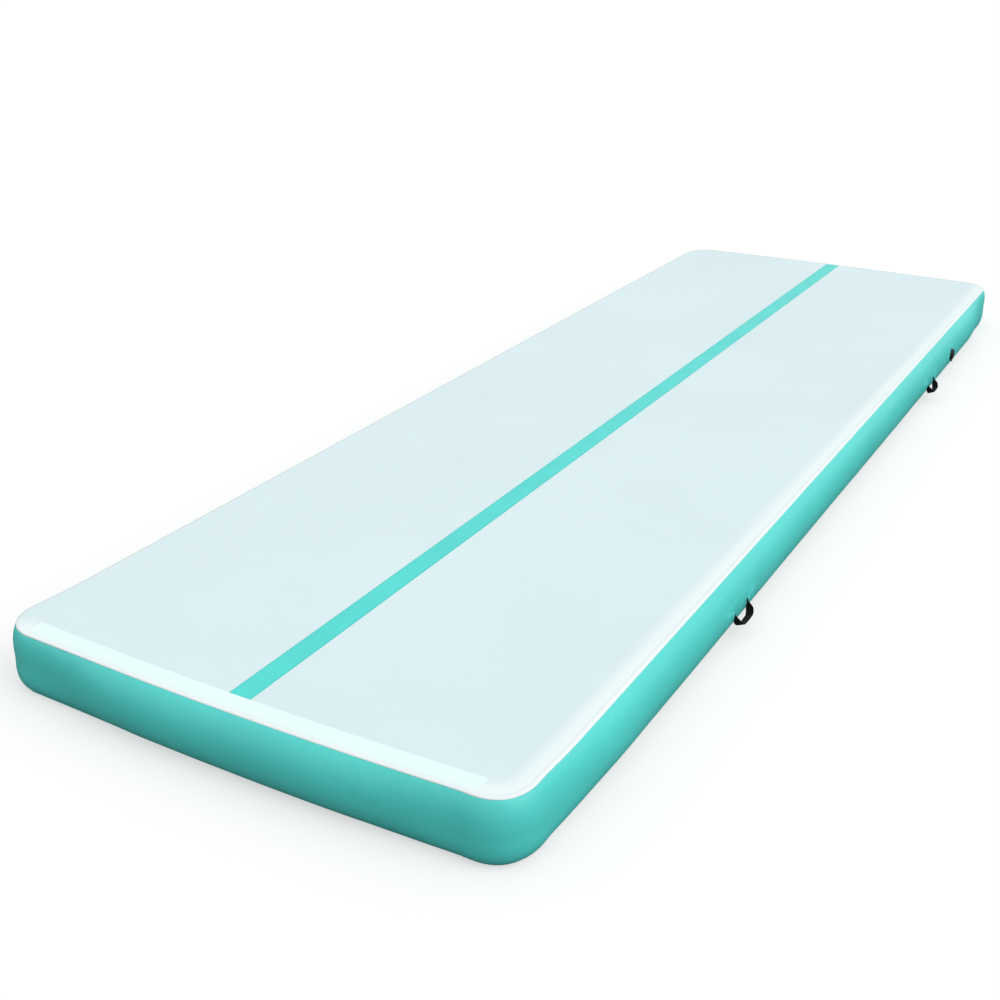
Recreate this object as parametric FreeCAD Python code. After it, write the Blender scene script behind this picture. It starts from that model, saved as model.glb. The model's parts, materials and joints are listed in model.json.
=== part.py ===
import FreeCAD, Part
import math
import os

# Air track mat: a long, flat, inflated tumbling mat. Millimetres, +Z up.
# The origin is the middle of the mat's footprint, on the floor. +Y runs along the
# mat, +X points to the long side that carries the inflation valve.

os.makedirs("parts", exist_ok=True)
V = FreeCAD.Vector

# ---------------------------------------------------------------- driving sizes
WIDTH = 2000.0            # over the bulged long side walls
LENGTH = 6000.0           # over the bulged end walls, at mid-width
HEIGHT = 220.0            # floor to the top of the tapes and stripe
BULGE = 50.0              # how far the side walls stand out past the seams
CORNER_RADIUS = 140.0     # seam outline in plan
END_BOW_RADIUS = 16500.0  # the seam outline of each end bows out gently
SKIN = 1.2                # coated fabric
TAPE = 1.0                # seam tape, end tape and stripe
LAP_OUTER = 30.0          # outer wall's flange glued under the sheet
LAP_INNER = 45.0          # inner wall's flange glued under that
SEAM_TAPE_WIDTH = 14.0
SEAM_TAPE_TURN = 4.0      # how far the tape turns down on the wall

STRIPE_WIDTH = 80.0
STRIPE_X = -12.0          # its middle, a little off the mat's own
STRIPE_NEAR_END = 2872.0  # from the mat's middle; it runs on to the seam tape at the far end
END_TAPE_HALF_WIDTH = 852.0

YARN_PITCH = 200.0        # one bundle stands for the yarns of a pitch square
YARN_RADIUS = 4.0
YARN_EDGE = 100.0         # free margin between the last yarns and the walls' laps

HANDLE_Y = {"near": -1418.0, "far": 1325.0}
HANDLE_Z = 98.0
HANDLE_SPAN = 120.0       # between the middles of a loop's two legs
HANDLE_DEPTH = 50.0       # hinge line to the middle of the grip webbing
HANDLE_DROOP = 68.0       # degrees below level, as it hangs
WEBBING_WIDTH = 30.0
WEBBING = 2.4             # thickness
WEBBING_TAIL = 62.0       # length glued under each cover patch
LOOP_CORNER_RADIUS = 28.0
ROOT_RADIUS = 1.4         # rolled webbing on the hinge line
ROOT_LENGTH = 6.0
LOOP_TAPER = 34.0         # the webbing folds to a point over this length
PATCH = 1.2
BASE_PATCH_LENGTH = 300.0
BASE_PATCH_HEIGHT = 92.0
COVER_LENGTH = 78.0
COVER_HEIGHT = 66.0
HINGE_OFFSET = 2.6        # hinge line above the base patch
RUN_GAP = 0.4             # between a piece that moves and one that doesn't

VALVE_Y = 1790.0
VALVE_HOLE_RADIUS = 19.0
VALVE_PATCH_RADIUS = 55.0
FLANGE_RADIUS = 31.0
FLANGE_FLOOR = 2.2        # underside of the flange, out from the wall's crown
FLANGE = 3.0
COLLAR_RADIUS = 20.0
COLLAR_HEIGHT = 4.0
BARREL_RADIUS = 18.5
BARREL_DEPTH = 30.0
INLET_RADIUS = 15.0
INLET_FLOOR = 1.5
SOCKET_RADIUS = 13.5
SEAT_TOP = -16.0
SEAT = 3.0
SEAT_RADIUS = 9.5
SPIDER_ARM = 2.6
SPIDER_HUB_RADIUS = 4.0
STEM_RADIUS = 2.0
POPPET_RADIUS = 12.5
BUTTON_RADIUS = 6.5
CAP_RADIUS = 25.0
CAP_ROOF = 3.2
LEASH_HINGE = 35.5        # valve axis down to the leash's hinge line
LEASH_WIDTH = 10.0
NUT_RADIUS = 30.0
NUT_FACE = -7.0
NUT = 7.0

# ------------------------------------------------------------- worked-out sizes
MID_HEIGHT = HEIGHT / 2
SHEET_LOW = TAPE + SKIN                 # inner faces of the two sheets
SHEET_HIGH = HEIGHT - TAPE - SKIN
SEAM_HALF_WIDTH = WIDTH / 2 - BULGE
SEAM_HALF_LENGTH = LENGTH / 2 - BULGE   # at mid-width, on the bow
WALL_HALF = (SHEET_HIGH - SHEET_LOW) / 2
WALL_RADIUS = (WALL_HALF ** 2 + BULGE ** 2) / (2 * BULGE)
BULGE_CENTRE = BULGE - WALL_RADIUS      # measured outwards from the seam line
CORNER_X = SEAM_HALF_WIDTH - CORNER_RADIUS
BOW_ANGLE = math.degrees(math.asin(CORNER_X / (END_BOW_RADIUS - CORNER_RADIUS)))
BOW_CENTRE = END_BOW_RADIUS - SEAM_HALF_LENGTH
CORNER_Y = (END_BOW_RADIUS - CORNER_RADIUS) * math.cos(math.radians(BOW_ANGLE)) - BOW_CENTRE
CROWN_X = WIDTH / 2                     # the outer wall's outermost line


def save(name, shape):
    """Write one node's STEP file."""
    if not shape.isValid():
        raise RuntimeError(name + " is not a valid solid")
    shape.exportStep("parts/" + name + ".step")


def mirror_x(shape):
    return shape.mirror(V(0, 0, 0), V(1, 0, 0))


def mirror_y(shape):
    return shape.mirror(V(0, 0, 0), V(0, 1, 0))


def fuse(shapes):
    return shapes[0].multiFuse(shapes[1:]).removeSplitter()


# ---------------------------------------------------------------- plan outlines
def plan_arc(centre_x, centre_y, radius, start, end, z):
    points = []
    for angle in (start, (start + end) / 2, end):
        turn = math.radians(angle)
        points.append(V(centre_x + radius * math.cos(turn), centre_y + radius * math.sin(turn), z))
    return Part.Arc(*points).toShape()


def outline_face(inset, z):
    """The seam outline, moved inwards: straight sides, round corners, bowed ends."""
    x = SEAM_HALF_WIDTH - inset
    corner = CORNER_RADIUS - inset
    bow = END_BOW_RADIUS - inset
    phi = BOW_ANGLE
    edges = [
        Part.LineSegment(V(x, -CORNER_Y, z), V(x, CORNER_Y, z)).toShape(),
        plan_arc(CORNER_X, CORNER_Y, corner, 0, 90 - phi, z),
        plan_arc(0, -BOW_CENTRE, bow, 90 - phi, 90 + phi, z),
        plan_arc(-CORNER_X, CORNER_Y, corner, 90 + phi, 180, z),
        Part.LineSegment(V(-x, CORNER_Y, z), V(-x, -CORNER_Y, z)).toShape(),
        plan_arc(-CORNER_X, -CORNER_Y, corner, 180, 270 - phi, z),
        plan_arc(0, BOW_CENTRE, bow, 270 - phi, 270 + phi, z),
        plan_arc(CORNER_X, -CORNER_Y, corner, 270 + phi, 360, z),
    ]
    return Part.Face(Part.Wire(edges))


# ---------------------------------------------------------------- wall sections
# A section lies in the XZ plane. Its x is measured outwards from the seam line.
def bulge_x(radius, z):
    return BULGE_CENTRE + math.sqrt(radius ** 2 - (z - MID_HEIGHT) ** 2)


def bulge_arc(radius, z_from, z_to):
    middle = (z_from + z_to) / 2
    points = [V(bulge_x(radius, z), 0, z) for z in (z_from, middle, z_to)]
    return Part.Arc(*points).toShape()


def line(x0, z0, x1, z1):
    return Part.LineSegment(V(x0, 0, z0), V(x1, 0, z1)).toShape()


def wall_section(outer_radius, thickness, lap):
    """A bulged wall with a flat glued lap at its top and its bottom."""
    inner_radius = outer_radius - thickness
    depth = WALL_RADIUS - outer_radius
    low, high = SHEET_LOW + depth, SHEET_HIGH - depth
    low_in, high_in = low + thickness, high - thickness
    edges = [
        bulge_arc(outer_radius, low, high),
        line(bulge_x(outer_radius, high), high, -lap, high),
        line(-lap, high, -lap, high_in),
        line(-lap, high_in, bulge_x(inner_radius, high_in), high_in),
        bulge_arc(inner_radius, high_in, low_in),
        line(bulge_x(inner_radius, low_in), low_in, -lap, low_in),
        line(-lap, low_in, -lap, low),
        line(-lap, low, bulge_x(outer_radius, low), low),
    ]
    return Part.Face(Part.Wire(edges))


def shell_section(inner_radius, thickness, z_low, z_high):
    """A strip of fabric that lies on the bulge."""
    outer_radius = inner_radius + thickness
    edges = [
        bulge_arc(outer_radius, z_low, z_high),
        line(bulge_x(outer_radius, z_high), z_high, bulge_x(inner_radius, z_high), z_high),
        bulge_arc(inner_radius, z_high, z_low),
        line(bulge_x(inner_radius, z_low), z_low, bulge_x(outer_radius, z_low), z_low),
    ]
    return Part.Face(Part.Wire(edges))


def seam_tape_section():
    """Tape over the top seam: flat on the sheet, turned down on to the wall."""
    radius = WALL_RADIUS + TAPE
    turn = SHEET_HIGH - SEAM_TAPE_TURN
    sheet_top = HEIGHT - TAPE
    edges = [
        line(-SEAM_TAPE_WIDTH, sheet_top, -TAPE, sheet_top),
        line(-TAPE, sheet_top, -TAPE, SHEET_HIGH),
        line(-TAPE, SHEET_HIGH, 0, SHEET_HIGH),
        bulge_arc(WALL_RADIUS, SHEET_HIGH, turn),
        line(bulge_x(WALL_RADIUS, turn), turn, bulge_x(radius, turn), turn),
        bulge_arc(radius, turn, HEIGHT),
        line(bulge_x(radius, HEIGHT), HEIGHT, -SEAM_TAPE_WIDTH, HEIGHT),
        line(-SEAM_TAPE_WIDTH, HEIGHT, -SEAM_TAPE_WIDTH, sheet_top),
    ]
    return Part.Face(Part.Wire(edges))


# ------------------------------------------------------ strips round the outline
def side_strip(section, y_from, y_to):
    """A section drawn straight along the right-hand long side."""
    strip = section.extrude(V(0, y_to - y_from, 0))
    strip.translate(V(SEAM_HALF_WIDTH, y_from, 0))
    return strip


def revolved(section, radius, start, sweep, centre):
    """A section standing out from a vertical axis, swept round it."""
    profile = section.copy()
    profile.translate(V(radius, 0, 0))
    profile.rotate(V(0, 0, 0), V(0, 0, 1), start)
    swept = profile.revolve(V(0, 0, 0), V(0, 0, 1), sweep)
    swept.translate(centre)
    return swept


def end_strip(section):
    """A section drawn round the near end and both of its corners."""
    sweep = 90 - BOW_ANGLE
    corner = revolved(section, CORNER_RADIUS, -sweep, sweep, V(CORNER_X, -CORNER_Y, 0))
    end = revolved(section, END_BOW_RADIUS, -90 - BOW_ANGLE, 2 * BOW_ANGLE, V(0, BOW_CENTRE, 0))
    return fuse([corner, end, mirror_x(corner)])


def ring_strips(section):
    """Right, left, near and far strips that make a whole ring."""
    right = side_strip(section, -CORNER_Y, CORNER_Y)
    near = end_strip(section)
    return {
        "right": right,
        "left": mirror_x(right),
        "near_end": near,
        "far_end": mirror_y(near),
    }


# ------------------------------------------------------------ sheets and yarns
def make_sheets():
    skin = V(0, 0, SKIN)
    save("bottom_sheet", outline_face(TAPE, TAPE).extrude(skin))
    save("top_sheet", outline_face(TAPE, SHEET_HIGH).extrude(skin))


def make_yarns():
    """Bundles of the drop-stitch yarns that hold the two sheets parallel."""
    reach_x = SEAM_HALF_WIDTH - LAP_INNER - YARN_EDGE
    reach_y = CORNER_Y
    columns = int(reach_x // YARN_PITCH)
    rows = int(reach_y // YARN_PITCH)
    yarns = []
    for column in range(-columns, columns + 1):
        for row in range(-rows, rows + 1):
            foot = V(column * YARN_PITCH, row * YARN_PITCH, SHEET_LOW)
            yarns.append(Part.makeCylinder(YARN_RADIUS, SHEET_HIGH - SHEET_LOW, foot))
    save("drop_stitch_yarns", Part.makeCompound(yarns))


# -------------------------------------------------------------------- side walls
def valve_cylinder(radius, out_from, out_to):
    """A cylinder on the valve's axis, between two distances out from the crown."""
    base = V(CROWN_X + out_from, VALVE_Y, MID_HEIGHT)
    return Part.makeCylinder(radius, out_to - out_from, base, V(1, 0, 0))


def valve_ring(outer, inner, out_from, out_to):
    return valve_cylinder(outer, out_from, out_to).cut(valve_cylinder(inner, out_from - 1, out_to + 1))


def make_walls():
    """Two layers of wall, each of two long strips and two end strips."""
    hole = valve_cylinder(VALVE_HOLE_RADIUS, -3 * BULGE, BULGE)
    layers = {
        "outer": (WALL_RADIUS, LAP_OUTER),
        "inner": (WALL_RADIUS - SKIN, LAP_INNER),
    }
    for layer, (radius, lap) in layers.items():
        for place, strip in ring_strips(wall_section(radius, SKIN, lap)).items():
            if place == "right":
                strip = strip.cut(hole)
            save(layer + "_wall_" + place, strip)


def make_seam_tapes():
    """The tape rings over the top and bottom seams, four strips each."""
    strips = list(ring_strips(seam_tape_section()).values())
    save("top_seam_tape", Part.makeCompound(strips))
    mid = V(0, 0, MID_HEIGHT)
    flipped = [strip.mirror(mid, V(0, 0, 1)) for strip in strips]
    save("bottom_seam_tape", Part.makeCompound(flipped))


def make_wall_joint_tapes():
    """Tapes inside the walls, over the four places where the strips meet."""
    half_width = 25.0
    radius = WALL_RADIUS - 2 * SKIN - TAPE
    section = shell_section(radius, TAPE, MID_HEIGHT - 88, MID_HEIGHT + 88)
    tape = side_strip(section, CORNER_Y - 2 * half_width, CORNER_Y)
    pair = [tape, mirror_x(tape)]
    save("wall_joint_tapes", Part.makeCompound(pair + [mirror_y(piece) for piece in pair]))


# ----------------------------------------------------------- stripe and end tape
def make_top_markings():
    z = HEIGHT - TAPE
    inside_seam_tape = outline_face(SEAM_TAPE_WIDTH, z).extrude(V(0, 0, TAPE))
    corner = V(STRIPE_X - STRIPE_WIDTH / 2, -STRIPE_NEAR_END, z)
    stripe = Part.makeBox(STRIPE_WIDTH, STRIPE_NEAR_END + LENGTH / 2, TAPE, corner)
    save("centre_stripe", inside_seam_tape.common(stripe))
    corner = V(-END_TAPE_HALF_WIDTH, -LENGTH / 2, z)
    window = Part.makeBox(2 * END_TAPE_HALF_WIDTH, LENGTH / 2 - STRIPE_NEAR_END, TAPE, corner)
    save("end_tape", inside_seam_tape.common(window))


# ----------------------------------------------------------------------- handles
def handle_fabric(inner_radius, thickness, height, y_from, y_to):
    """A rectangle of fabric on the right-hand wall, round the handle's height."""
    half = height / 2
    section = shell_section(inner_radius, thickness, HANDLE_Z - half, HANDLE_Z + half)
    return side_strip(section, y_from, y_to)


def loop_outline(spread):
    """The loop seen square on, u away from the wall and y along it."""
    half = HANDLE_SPAN / 2 + spread
    depth = HANDLE_DEPTH + spread
    radius = LOOP_CORNER_RADIUS + spread
    bend = radius * (1 - math.sqrt(0.5))
    shoulder = half - radius
    foot = depth - radius
    return [
        Part.LineSegment(V(0, -half, 0), V(foot, -half, 0)).toShape(),
        Part.Arc(V(foot, -half, 0), V(depth - bend, bend - half, 0), V(depth, -shoulder, 0)).toShape(),
        Part.LineSegment(V(depth, -shoulder, 0), V(depth, shoulder, 0)).toShape(),
        Part.Arc(V(depth, shoulder, 0), V(depth - bend, half - bend, 0), V(foot, half, 0)).toShape(),
        Part.LineSegment(V(foot, half, 0), V(0, half, 0)).toShape(),
    ]


def loop_solid():
    """The webbing loop about its hinge line: u on X, its width on Z."""
    outer = loop_outline(WEBBING / 2)
    inner = loop_outline(-WEBBING / 2)
    feet = []
    for side in (-1, 1):
        y_out = side * (HANDLE_SPAN + WEBBING) / 2
        y_in = side * (HANDLE_SPAN - WEBBING) / 2
        feet.append(Part.LineSegment(V(0, y_out, 0), V(0, y_in, 0)).toShape())
    wire = Part.Wire(Part.__sortEdges__(outer + inner + feet))
    band = Part.Face(wire).extrude(V(0, 0, WEBBING_WIDTH))
    half = WEBBING_WIDTH / 2
    band.translate(V(0, 0, -half))
    reach = HANDLE_DEPTH + WEBBING
    profile = [
        V(0, -HANDLE_SPAN, -ROOT_RADIUS), V(LOOP_TAPER, -HANDLE_SPAN, -half),
        V(reach, -HANDLE_SPAN, -half), V(reach, -HANDLE_SPAN, half),
        V(LOOP_TAPER, -HANDLE_SPAN, half), V(0, -HANDLE_SPAN, ROOT_RADIUS),
    ]
    taper = Part.Face(Part.makePolygon(profile + [profile[0]])).extrude(V(0, 2 * HANDLE_SPAN, 0))
    pieces = [band.common(taper)]
    for side in (-1, 1):
        start = V(0, side * HANDLE_SPAN / 2 - ROOT_LENGTH / 2, 0)
        pieces.append(Part.makeCylinder(ROOT_RADIUS, ROOT_LENGTH, start, V(0, 1, 0)))
    return fuse(pieces)


def right_handle(centre_y):
    """One handle on the right-hand wall: patch, tails, covers and loop."""
    on_patch = WALL_RADIUS + PATCH
    half_patch = BASE_PATCH_LENGTH / 2
    base = handle_fabric(WALL_RADIUS, PATCH, BASE_PATCH_HEIGHT, centre_y - half_patch, centre_y + half_patch)
    tail_start = (HANDLE_SPAN + ROOT_LENGTH) / 2 + RUN_GAP
    cover_start = tail_start + 2.0
    tails = []
    covers = []
    for side in (-1, 1):
        near, far = sorted((centre_y + side * tail_start, centre_y + side * (tail_start + WEBBING_TAIL)))
        tail = handle_fabric(on_patch, WEBBING, WEBBING_WIDTH, near, far)
        near, far = sorted((centre_y + side * cover_start, centre_y + side * (cover_start + COVER_LENGTH)))
        cover = handle_fabric(on_patch, WEBBING + PATCH, COVER_HEIGHT, near, far)
        tails.append(tail)
        covers.append(cover.cut(tail))
    hinge_x = SEAM_HALF_WIDTH + bulge_x(on_patch + HINGE_OFFSET, HANDLE_Z)
    loop = loop_solid()
    loop.rotate(V(0, 0, 0), V(0, 1, 0), HANDLE_DROOP)
    loop.translate(V(hinge_x, centre_y, HANDLE_Z))
    return {
        "handle_base_patch": base,
        "handle_webbing_tails": Part.makeCompound(tails),
        "handle_cover_patches": Part.makeCompound(covers),
        "handle_loop": loop,
    }


def make_handles():
    for place, centre_y in HANDLE_Y.items():
        for name, piece in right_handle(centre_y).items():
            save(name + "_right_" + place, piece)
            save(name + "_left_" + place, mirror_x(piece))


# ------------------------------------------------------------------------- valve
def inside_bulge(radius):
    """A length of solid filling the right-hand bulge, to cut or keep round pieces."""
    start = V(SEAM_HALF_WIDTH + BULGE_CENTRE, VALVE_Y - 100, MID_HEIGHT)
    return Part.makeCylinder(radius, 200, start, V(0, 1, 0))


def make_valve_seals():
    """Reinforcing patch, outer gasket and inner gasket round the wall's hole."""
    patch = valve_ring(VALVE_PATCH_RADIUS, VALVE_HOLE_RADIUS, -BULGE, PATCH + 1)
    patch = patch.common(inside_bulge(WALL_RADIUS + PATCH)).cut(inside_bulge(WALL_RADIUS))
    save("valve_reinforcing_patch", patch)
    gasket = valve_ring(FLANGE_RADIUS, VALVE_HOLE_RADIUS, -BULGE, FLANGE_FLOOR)
    save("valve_outer_gasket", gasket.cut(inside_bulge(WALL_RADIUS + PATCH)))
    inner = valve_ring(NUT_RADIUS - 1, VALVE_HOLE_RADIUS, NUT_FACE, 0)
    save("valve_inner_gasket", inner.common(inside_bulge(WALL_RADIUS - 2 * SKIN)))


def make_valve_body():
    """Flange, collar, barrel and the four-armed seat, in one moulding."""
    flange_top = FLANGE_FLOOR + FLANGE
    collar_top = flange_top + COLLAR_HEIGHT
    tab_reach = LEASH_HINGE - ROOT_RADIUS - 0.6
    tab = Part.makeBox(FLANGE, LEASH_WIDTH, tab_reach)
    tab.translate(V(CROWN_X + FLANGE_FLOOR, VALVE_Y - LEASH_WIDTH / 2, MID_HEIGHT - tab_reach))
    body = fuse([
        valve_cylinder(FLANGE_RADIUS, FLANGE_FLOOR, flange_top),
        valve_cylinder(COLLAR_RADIUS, flange_top, collar_top),
        valve_cylinder(BARREL_RADIUS, -BARREL_DEPTH, FLANGE_FLOOR),
        tab,
    ])
    seat_floor = SEAT_TOP - SEAT
    body = body.cut(valve_cylinder(INLET_RADIUS, INLET_FLOOR, collar_top + 1))
    body = body.cut(valve_cylinder(SOCKET_RADIUS, SEAT_TOP, INLET_FLOOR))
    body = body.cut(valve_cylinder(SEAT_RADIUS, seat_floor, SEAT_TOP))
    body = body.cut(valve_cylinder(POPPET_RADIUS + 2.5, -BARREL_DEPTH - 1, seat_floor))
    arm = Part.makeBox(SEAT, 2 * SEAT_RADIUS + 1, SPIDER_ARM)
    arm.translate(V(CROWN_X + seat_floor, VALVE_Y - SEAT_RADIUS - 0.5, MID_HEIGHT - SPIDER_ARM / 2))
    cross_arm = arm.copy()
    cross_arm.rotate(V(0, VALVE_Y, MID_HEIGHT), V(1, 0, 0), 90)
    hub = valve_cylinder(SPIDER_HUB_RADIUS, seat_floor, SEAT_TOP)
    body = fuse([body, arm, cross_arm, hub])
    save("valve_body", body.cut(valve_cylinder(STEM_RADIUS + 0.1, seat_floor - 1, SEAT_TOP + 1)))


def make_valve_nut():
    """Round nut on the barrel, with four spanner notches."""
    nut = valve_ring(NUT_RADIUS, BARREL_RADIUS + 0.1, NUT_FACE - NUT, NUT_FACE)
    for quarter in range(4):
        notch = Part.makeBox(NUT, 6, 5)
        notch.translate(V(CROWN_X + NUT_FACE - NUT, VALVE_Y - 3, MID_HEIGHT + NUT_RADIUS - 4))
        notch.rotate(V(0, VALVE_Y, MID_HEIGHT), V(1, 0, 0), 45 + 90 * quarter)
        nut = nut.cut(notch)
    save("valve_nut", nut)


def make_valve_stem():
    """Button, stem and poppet, the poppet's seal, the spring and its washer."""
    seat_floor = SEAT_TOP - SEAT
    seal_gap = 0.3
    seal = 2.4
    poppet = 2.3
    washer = 1.0
    button = 2.5
    button_floor = -4.5
    seal_floor = seat_floor - seal_gap - seal
    poppet_floor = seal_floor - poppet
    grip = Part.makeBox(1.0, 2 * BUTTON_RADIUS - 4, 2.0)
    grip.translate(V(CROWN_X + button_floor + button, VALVE_Y - BUTTON_RADIUS + 2, MID_HEIGHT - 1.0))
    stem = fuse([
        valve_cylinder(POPPET_RADIUS, poppet_floor, seal_floor),
        valve_cylinder(STEM_RADIUS, seal_floor, button_floor),
        valve_cylinder(BUTTON_RADIUS, button_floor, button_floor + button),
        grip,
    ])
    save("valve_stem", stem)
    bore = STEM_RADIUS + 0.1
    save("valve_poppet_seal", valve_ring(POPPET_RADIUS, bore, seal_floor, seal_floor + seal))
    washer_floor = button_floor - washer
    save("valve_spring_washer", valve_ring(BUTTON_RADIUS - 0.5, bore, washer_floor, button_floor))
    make_valve_spring(SEAT_TOP, washer_floor)


def make_valve_spring(out_from, out_to):
    """Compression spring between the spider's hub and the washer."""
    wire_radius = 0.4
    coil_radius = 3.4
    turns = 5
    height = out_to - out_from - 2 * wire_radius
    helix = Part.makeHelix(height / turns, height, coil_radius)
    profile = Part.Wire(Part.makeCircle(wire_radius, V(coil_radius, 0, 0), V(0, 1, 0)))
    spring = Part.Wire(helix).makePipeShell([profile], True, True)
    spring.rotate(V(0, 0, 0), V(0, 1, 0), 90)
    spring.translate(V(CROWN_X + out_from + wire_radius, VALVE_Y, MID_HEIGHT))
    save("valve_spring", spring)


def make_valve_cap():
    """Screw cap over the collar, its face seal, and the leash that keeps it."""
    flange_top = FLANGE_FLOOR + FLANGE
    collar_top = flange_top + COLLAR_HEIGHT
    skirt_floor = flange_top + RUN_GAP
    ceiling = collar_top + RUN_GAP
    roof = ceiling + CAP_ROOF
    seal_out, seal_in = COLLAR_RADIUS - 0.6, INLET_RADIUS + 0.6
    seal_floor = collar_top + 0.3
    groove = 1.0
    cap = valve_cylinder(CAP_RADIUS, skirt_floor, roof)
    cap = cap.cut(valve_cylinder(COLLAR_RADIUS + RUN_GAP, skirt_floor - 1, ceiling))
    cap = cap.cut(valve_ring(seal_out, seal_in, ceiling, ceiling + groove))
    leash_floor = ceiling - 1.0
    leash_top = leash_floor + 1.6
    cap = cap.cut(valve_ring(CAP_RADIUS + 1, CAP_RADIUS - 1.6, leash_floor - 0.3, leash_top + 0.3))
    for third in range(3):
        bar = Part.makeBox(1.6, 2 * CAP_RADIUS - 14, 3.0)
        bar.translate(V(CROWN_X + roof, VALVE_Y - CAP_RADIUS + 7, MID_HEIGHT - 1.5))
        bar.rotate(V(0, VALVE_Y, MID_HEIGHT), V(1, 0, 0), 60 * third)
        cap = cap.fuse(bar)
    save("valve_cap", cap.removeSplitter())
    save("valve_cap_seal", valve_ring(seal_out, seal_in, seal_floor, ceiling + groove))
    make_valve_leash(leash_floor, leash_top)


def make_valve_leash(out_from, out_to):
    """A ring in the cap's groove and a strap down to the flange's tab."""
    ring_inner = CAP_RADIUS - 1.2
    ring_outer = CAP_RADIUS + 2.4
    hinge_out = FLANGE_FLOOR + FLANGE / 2
    y = VALVE_Y - LEASH_WIDTH / 2
    strap = Part.makeBox(out_to - out_from, LEASH_WIDTH, LEASH_HINGE + ROOT_RADIUS - ring_inner - 1)
    strap.translate(V(CROWN_X + out_from, y, MID_HEIGHT - LEASH_HINGE - ROOT_RADIUS))
    drop = Part.makeBox(out_to - hinge_out, LEASH_WIDTH, 2 * ROOT_RADIUS)
    drop.translate(V(CROWN_X + hinge_out, y, MID_HEIGHT - LEASH_HINGE - ROOT_RADIUS))
    start = V(CROWN_X + hinge_out, y, MID_HEIGHT - LEASH_HINGE)
    knuckle = Part.makeCylinder(ROOT_RADIUS, LEASH_WIDTH, start, V(0, 1, 0))
    leash = fuse([valve_cylinder(ring_outer, out_from, out_to), strap, drop, knuckle])
    save("valve_leash", leash.cut(valve_cylinder(ring_inner, out_from - 1, out_to + 1)))


make_sheets()
make_yarns()
make_walls()
make_seam_tapes()
make_wall_joint_tapes()
make_top_markings()
make_handles()
make_valve_seals()
make_valve_body()
make_valve_nut()
make_valve_stem()
make_valve_cap()
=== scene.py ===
import json
import math
import bmesh
import bpy
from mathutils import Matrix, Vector, noise


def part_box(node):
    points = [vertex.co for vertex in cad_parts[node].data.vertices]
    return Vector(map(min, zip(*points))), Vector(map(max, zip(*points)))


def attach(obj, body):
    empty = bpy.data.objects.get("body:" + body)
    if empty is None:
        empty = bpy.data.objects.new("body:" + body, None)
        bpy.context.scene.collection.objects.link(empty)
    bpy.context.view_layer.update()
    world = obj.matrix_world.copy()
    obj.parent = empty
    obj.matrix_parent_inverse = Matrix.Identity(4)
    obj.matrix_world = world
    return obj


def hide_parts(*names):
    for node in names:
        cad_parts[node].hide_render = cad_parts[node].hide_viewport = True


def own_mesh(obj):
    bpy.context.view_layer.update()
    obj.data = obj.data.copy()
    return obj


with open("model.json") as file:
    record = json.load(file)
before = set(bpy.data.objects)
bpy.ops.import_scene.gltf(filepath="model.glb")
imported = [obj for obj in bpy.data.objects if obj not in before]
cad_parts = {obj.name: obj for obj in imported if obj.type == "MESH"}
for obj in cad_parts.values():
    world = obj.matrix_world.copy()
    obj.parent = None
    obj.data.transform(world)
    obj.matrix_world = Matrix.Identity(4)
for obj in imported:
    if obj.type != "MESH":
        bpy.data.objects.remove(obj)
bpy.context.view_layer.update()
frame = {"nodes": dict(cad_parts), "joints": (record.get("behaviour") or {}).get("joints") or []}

# Air track mat. Metres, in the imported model's frame: +Y along the mat, +X towards the
# valve's side, +Z up, floor at 0. Skins, tapes, patches and webbing are built here, and
# the hard valve pieces are the CAD nodes with their own materials.

MM = 0.001

# ------------ sizes and places
BULGE = 0.050  # the walls' crown beyond the seam line
CORNER_RADIUS = 0.140  # seam line in plan
END_BOW_RADIUS = 16.5  # each end's seam line bows out gently
SKIN = 0.0012  # one layer of coated fabric
TAPE = 0.001
PATCH = 0.0012
LAYER_GAP = 0.0001  # between glued layers, so that they don't share a face
SINK = 0.0004  # tapes' and patches' undersides are this far into the wall

SHOULDER_WIDTH = 0.050  # the top sheet rounds down to the seam over this width
SHOULDER_DROP = 0.0007
ROLL_WIDTH = 0.007  # and its edge rolls over, under the seam tape
ROLL_DROP = 0.0017
HEEL_WIDTH = 0.016  # the same where the bottom sheet leaves the floor
HEEL_RISE = 0.0014
SEAM_TAPE_WIDTH = 0.014
SEAM_TAPE_TURN = 0.0012  # how far the tape turns down on the wall

sheet_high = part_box("top_sheet")[1]
SHEET_TOP = sheet_high.z
SHEET_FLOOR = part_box("bottom_sheet")[0].z
CROWN_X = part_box("outer_wall_right")[1].x
SEAM_X = CROWN_X - BULGE
SEAM_Y = sheet_high.y + TAPE
CORNER_X = SEAM_X - CORNER_RADIUS
BOW_ANGLE = math.asin(CORNER_X / (END_BOW_RADIUS - CORNER_RADIUS))
BOW_CENTRE = END_BOW_RADIUS - SEAM_Y
CORNER_Y = (END_BOW_RADIUS - CORNER_RADIUS) * math.cos(BOW_ANGLE) - BOW_CENTRE

WALL_TOP = SHEET_TOP - SKIN - SHOULDER_DROP - ROLL_DROP
WALL_FOOT = SHEET_FLOOR + SKIN + HEEL_RISE
WALL_MID = (WALL_TOP + WALL_FOOT) / 2
WALL_HALF = (WALL_TOP - WALL_FOOT) / 2
WALL_RADIUS = (WALL_HALF ** 2 + BULGE ** 2) / (2 * BULGE)
WALL_CENTRE = BULGE - WALL_RADIUS
WALL_ANGLE = math.asin(WALL_HALF / WALL_RADIUS)

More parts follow.
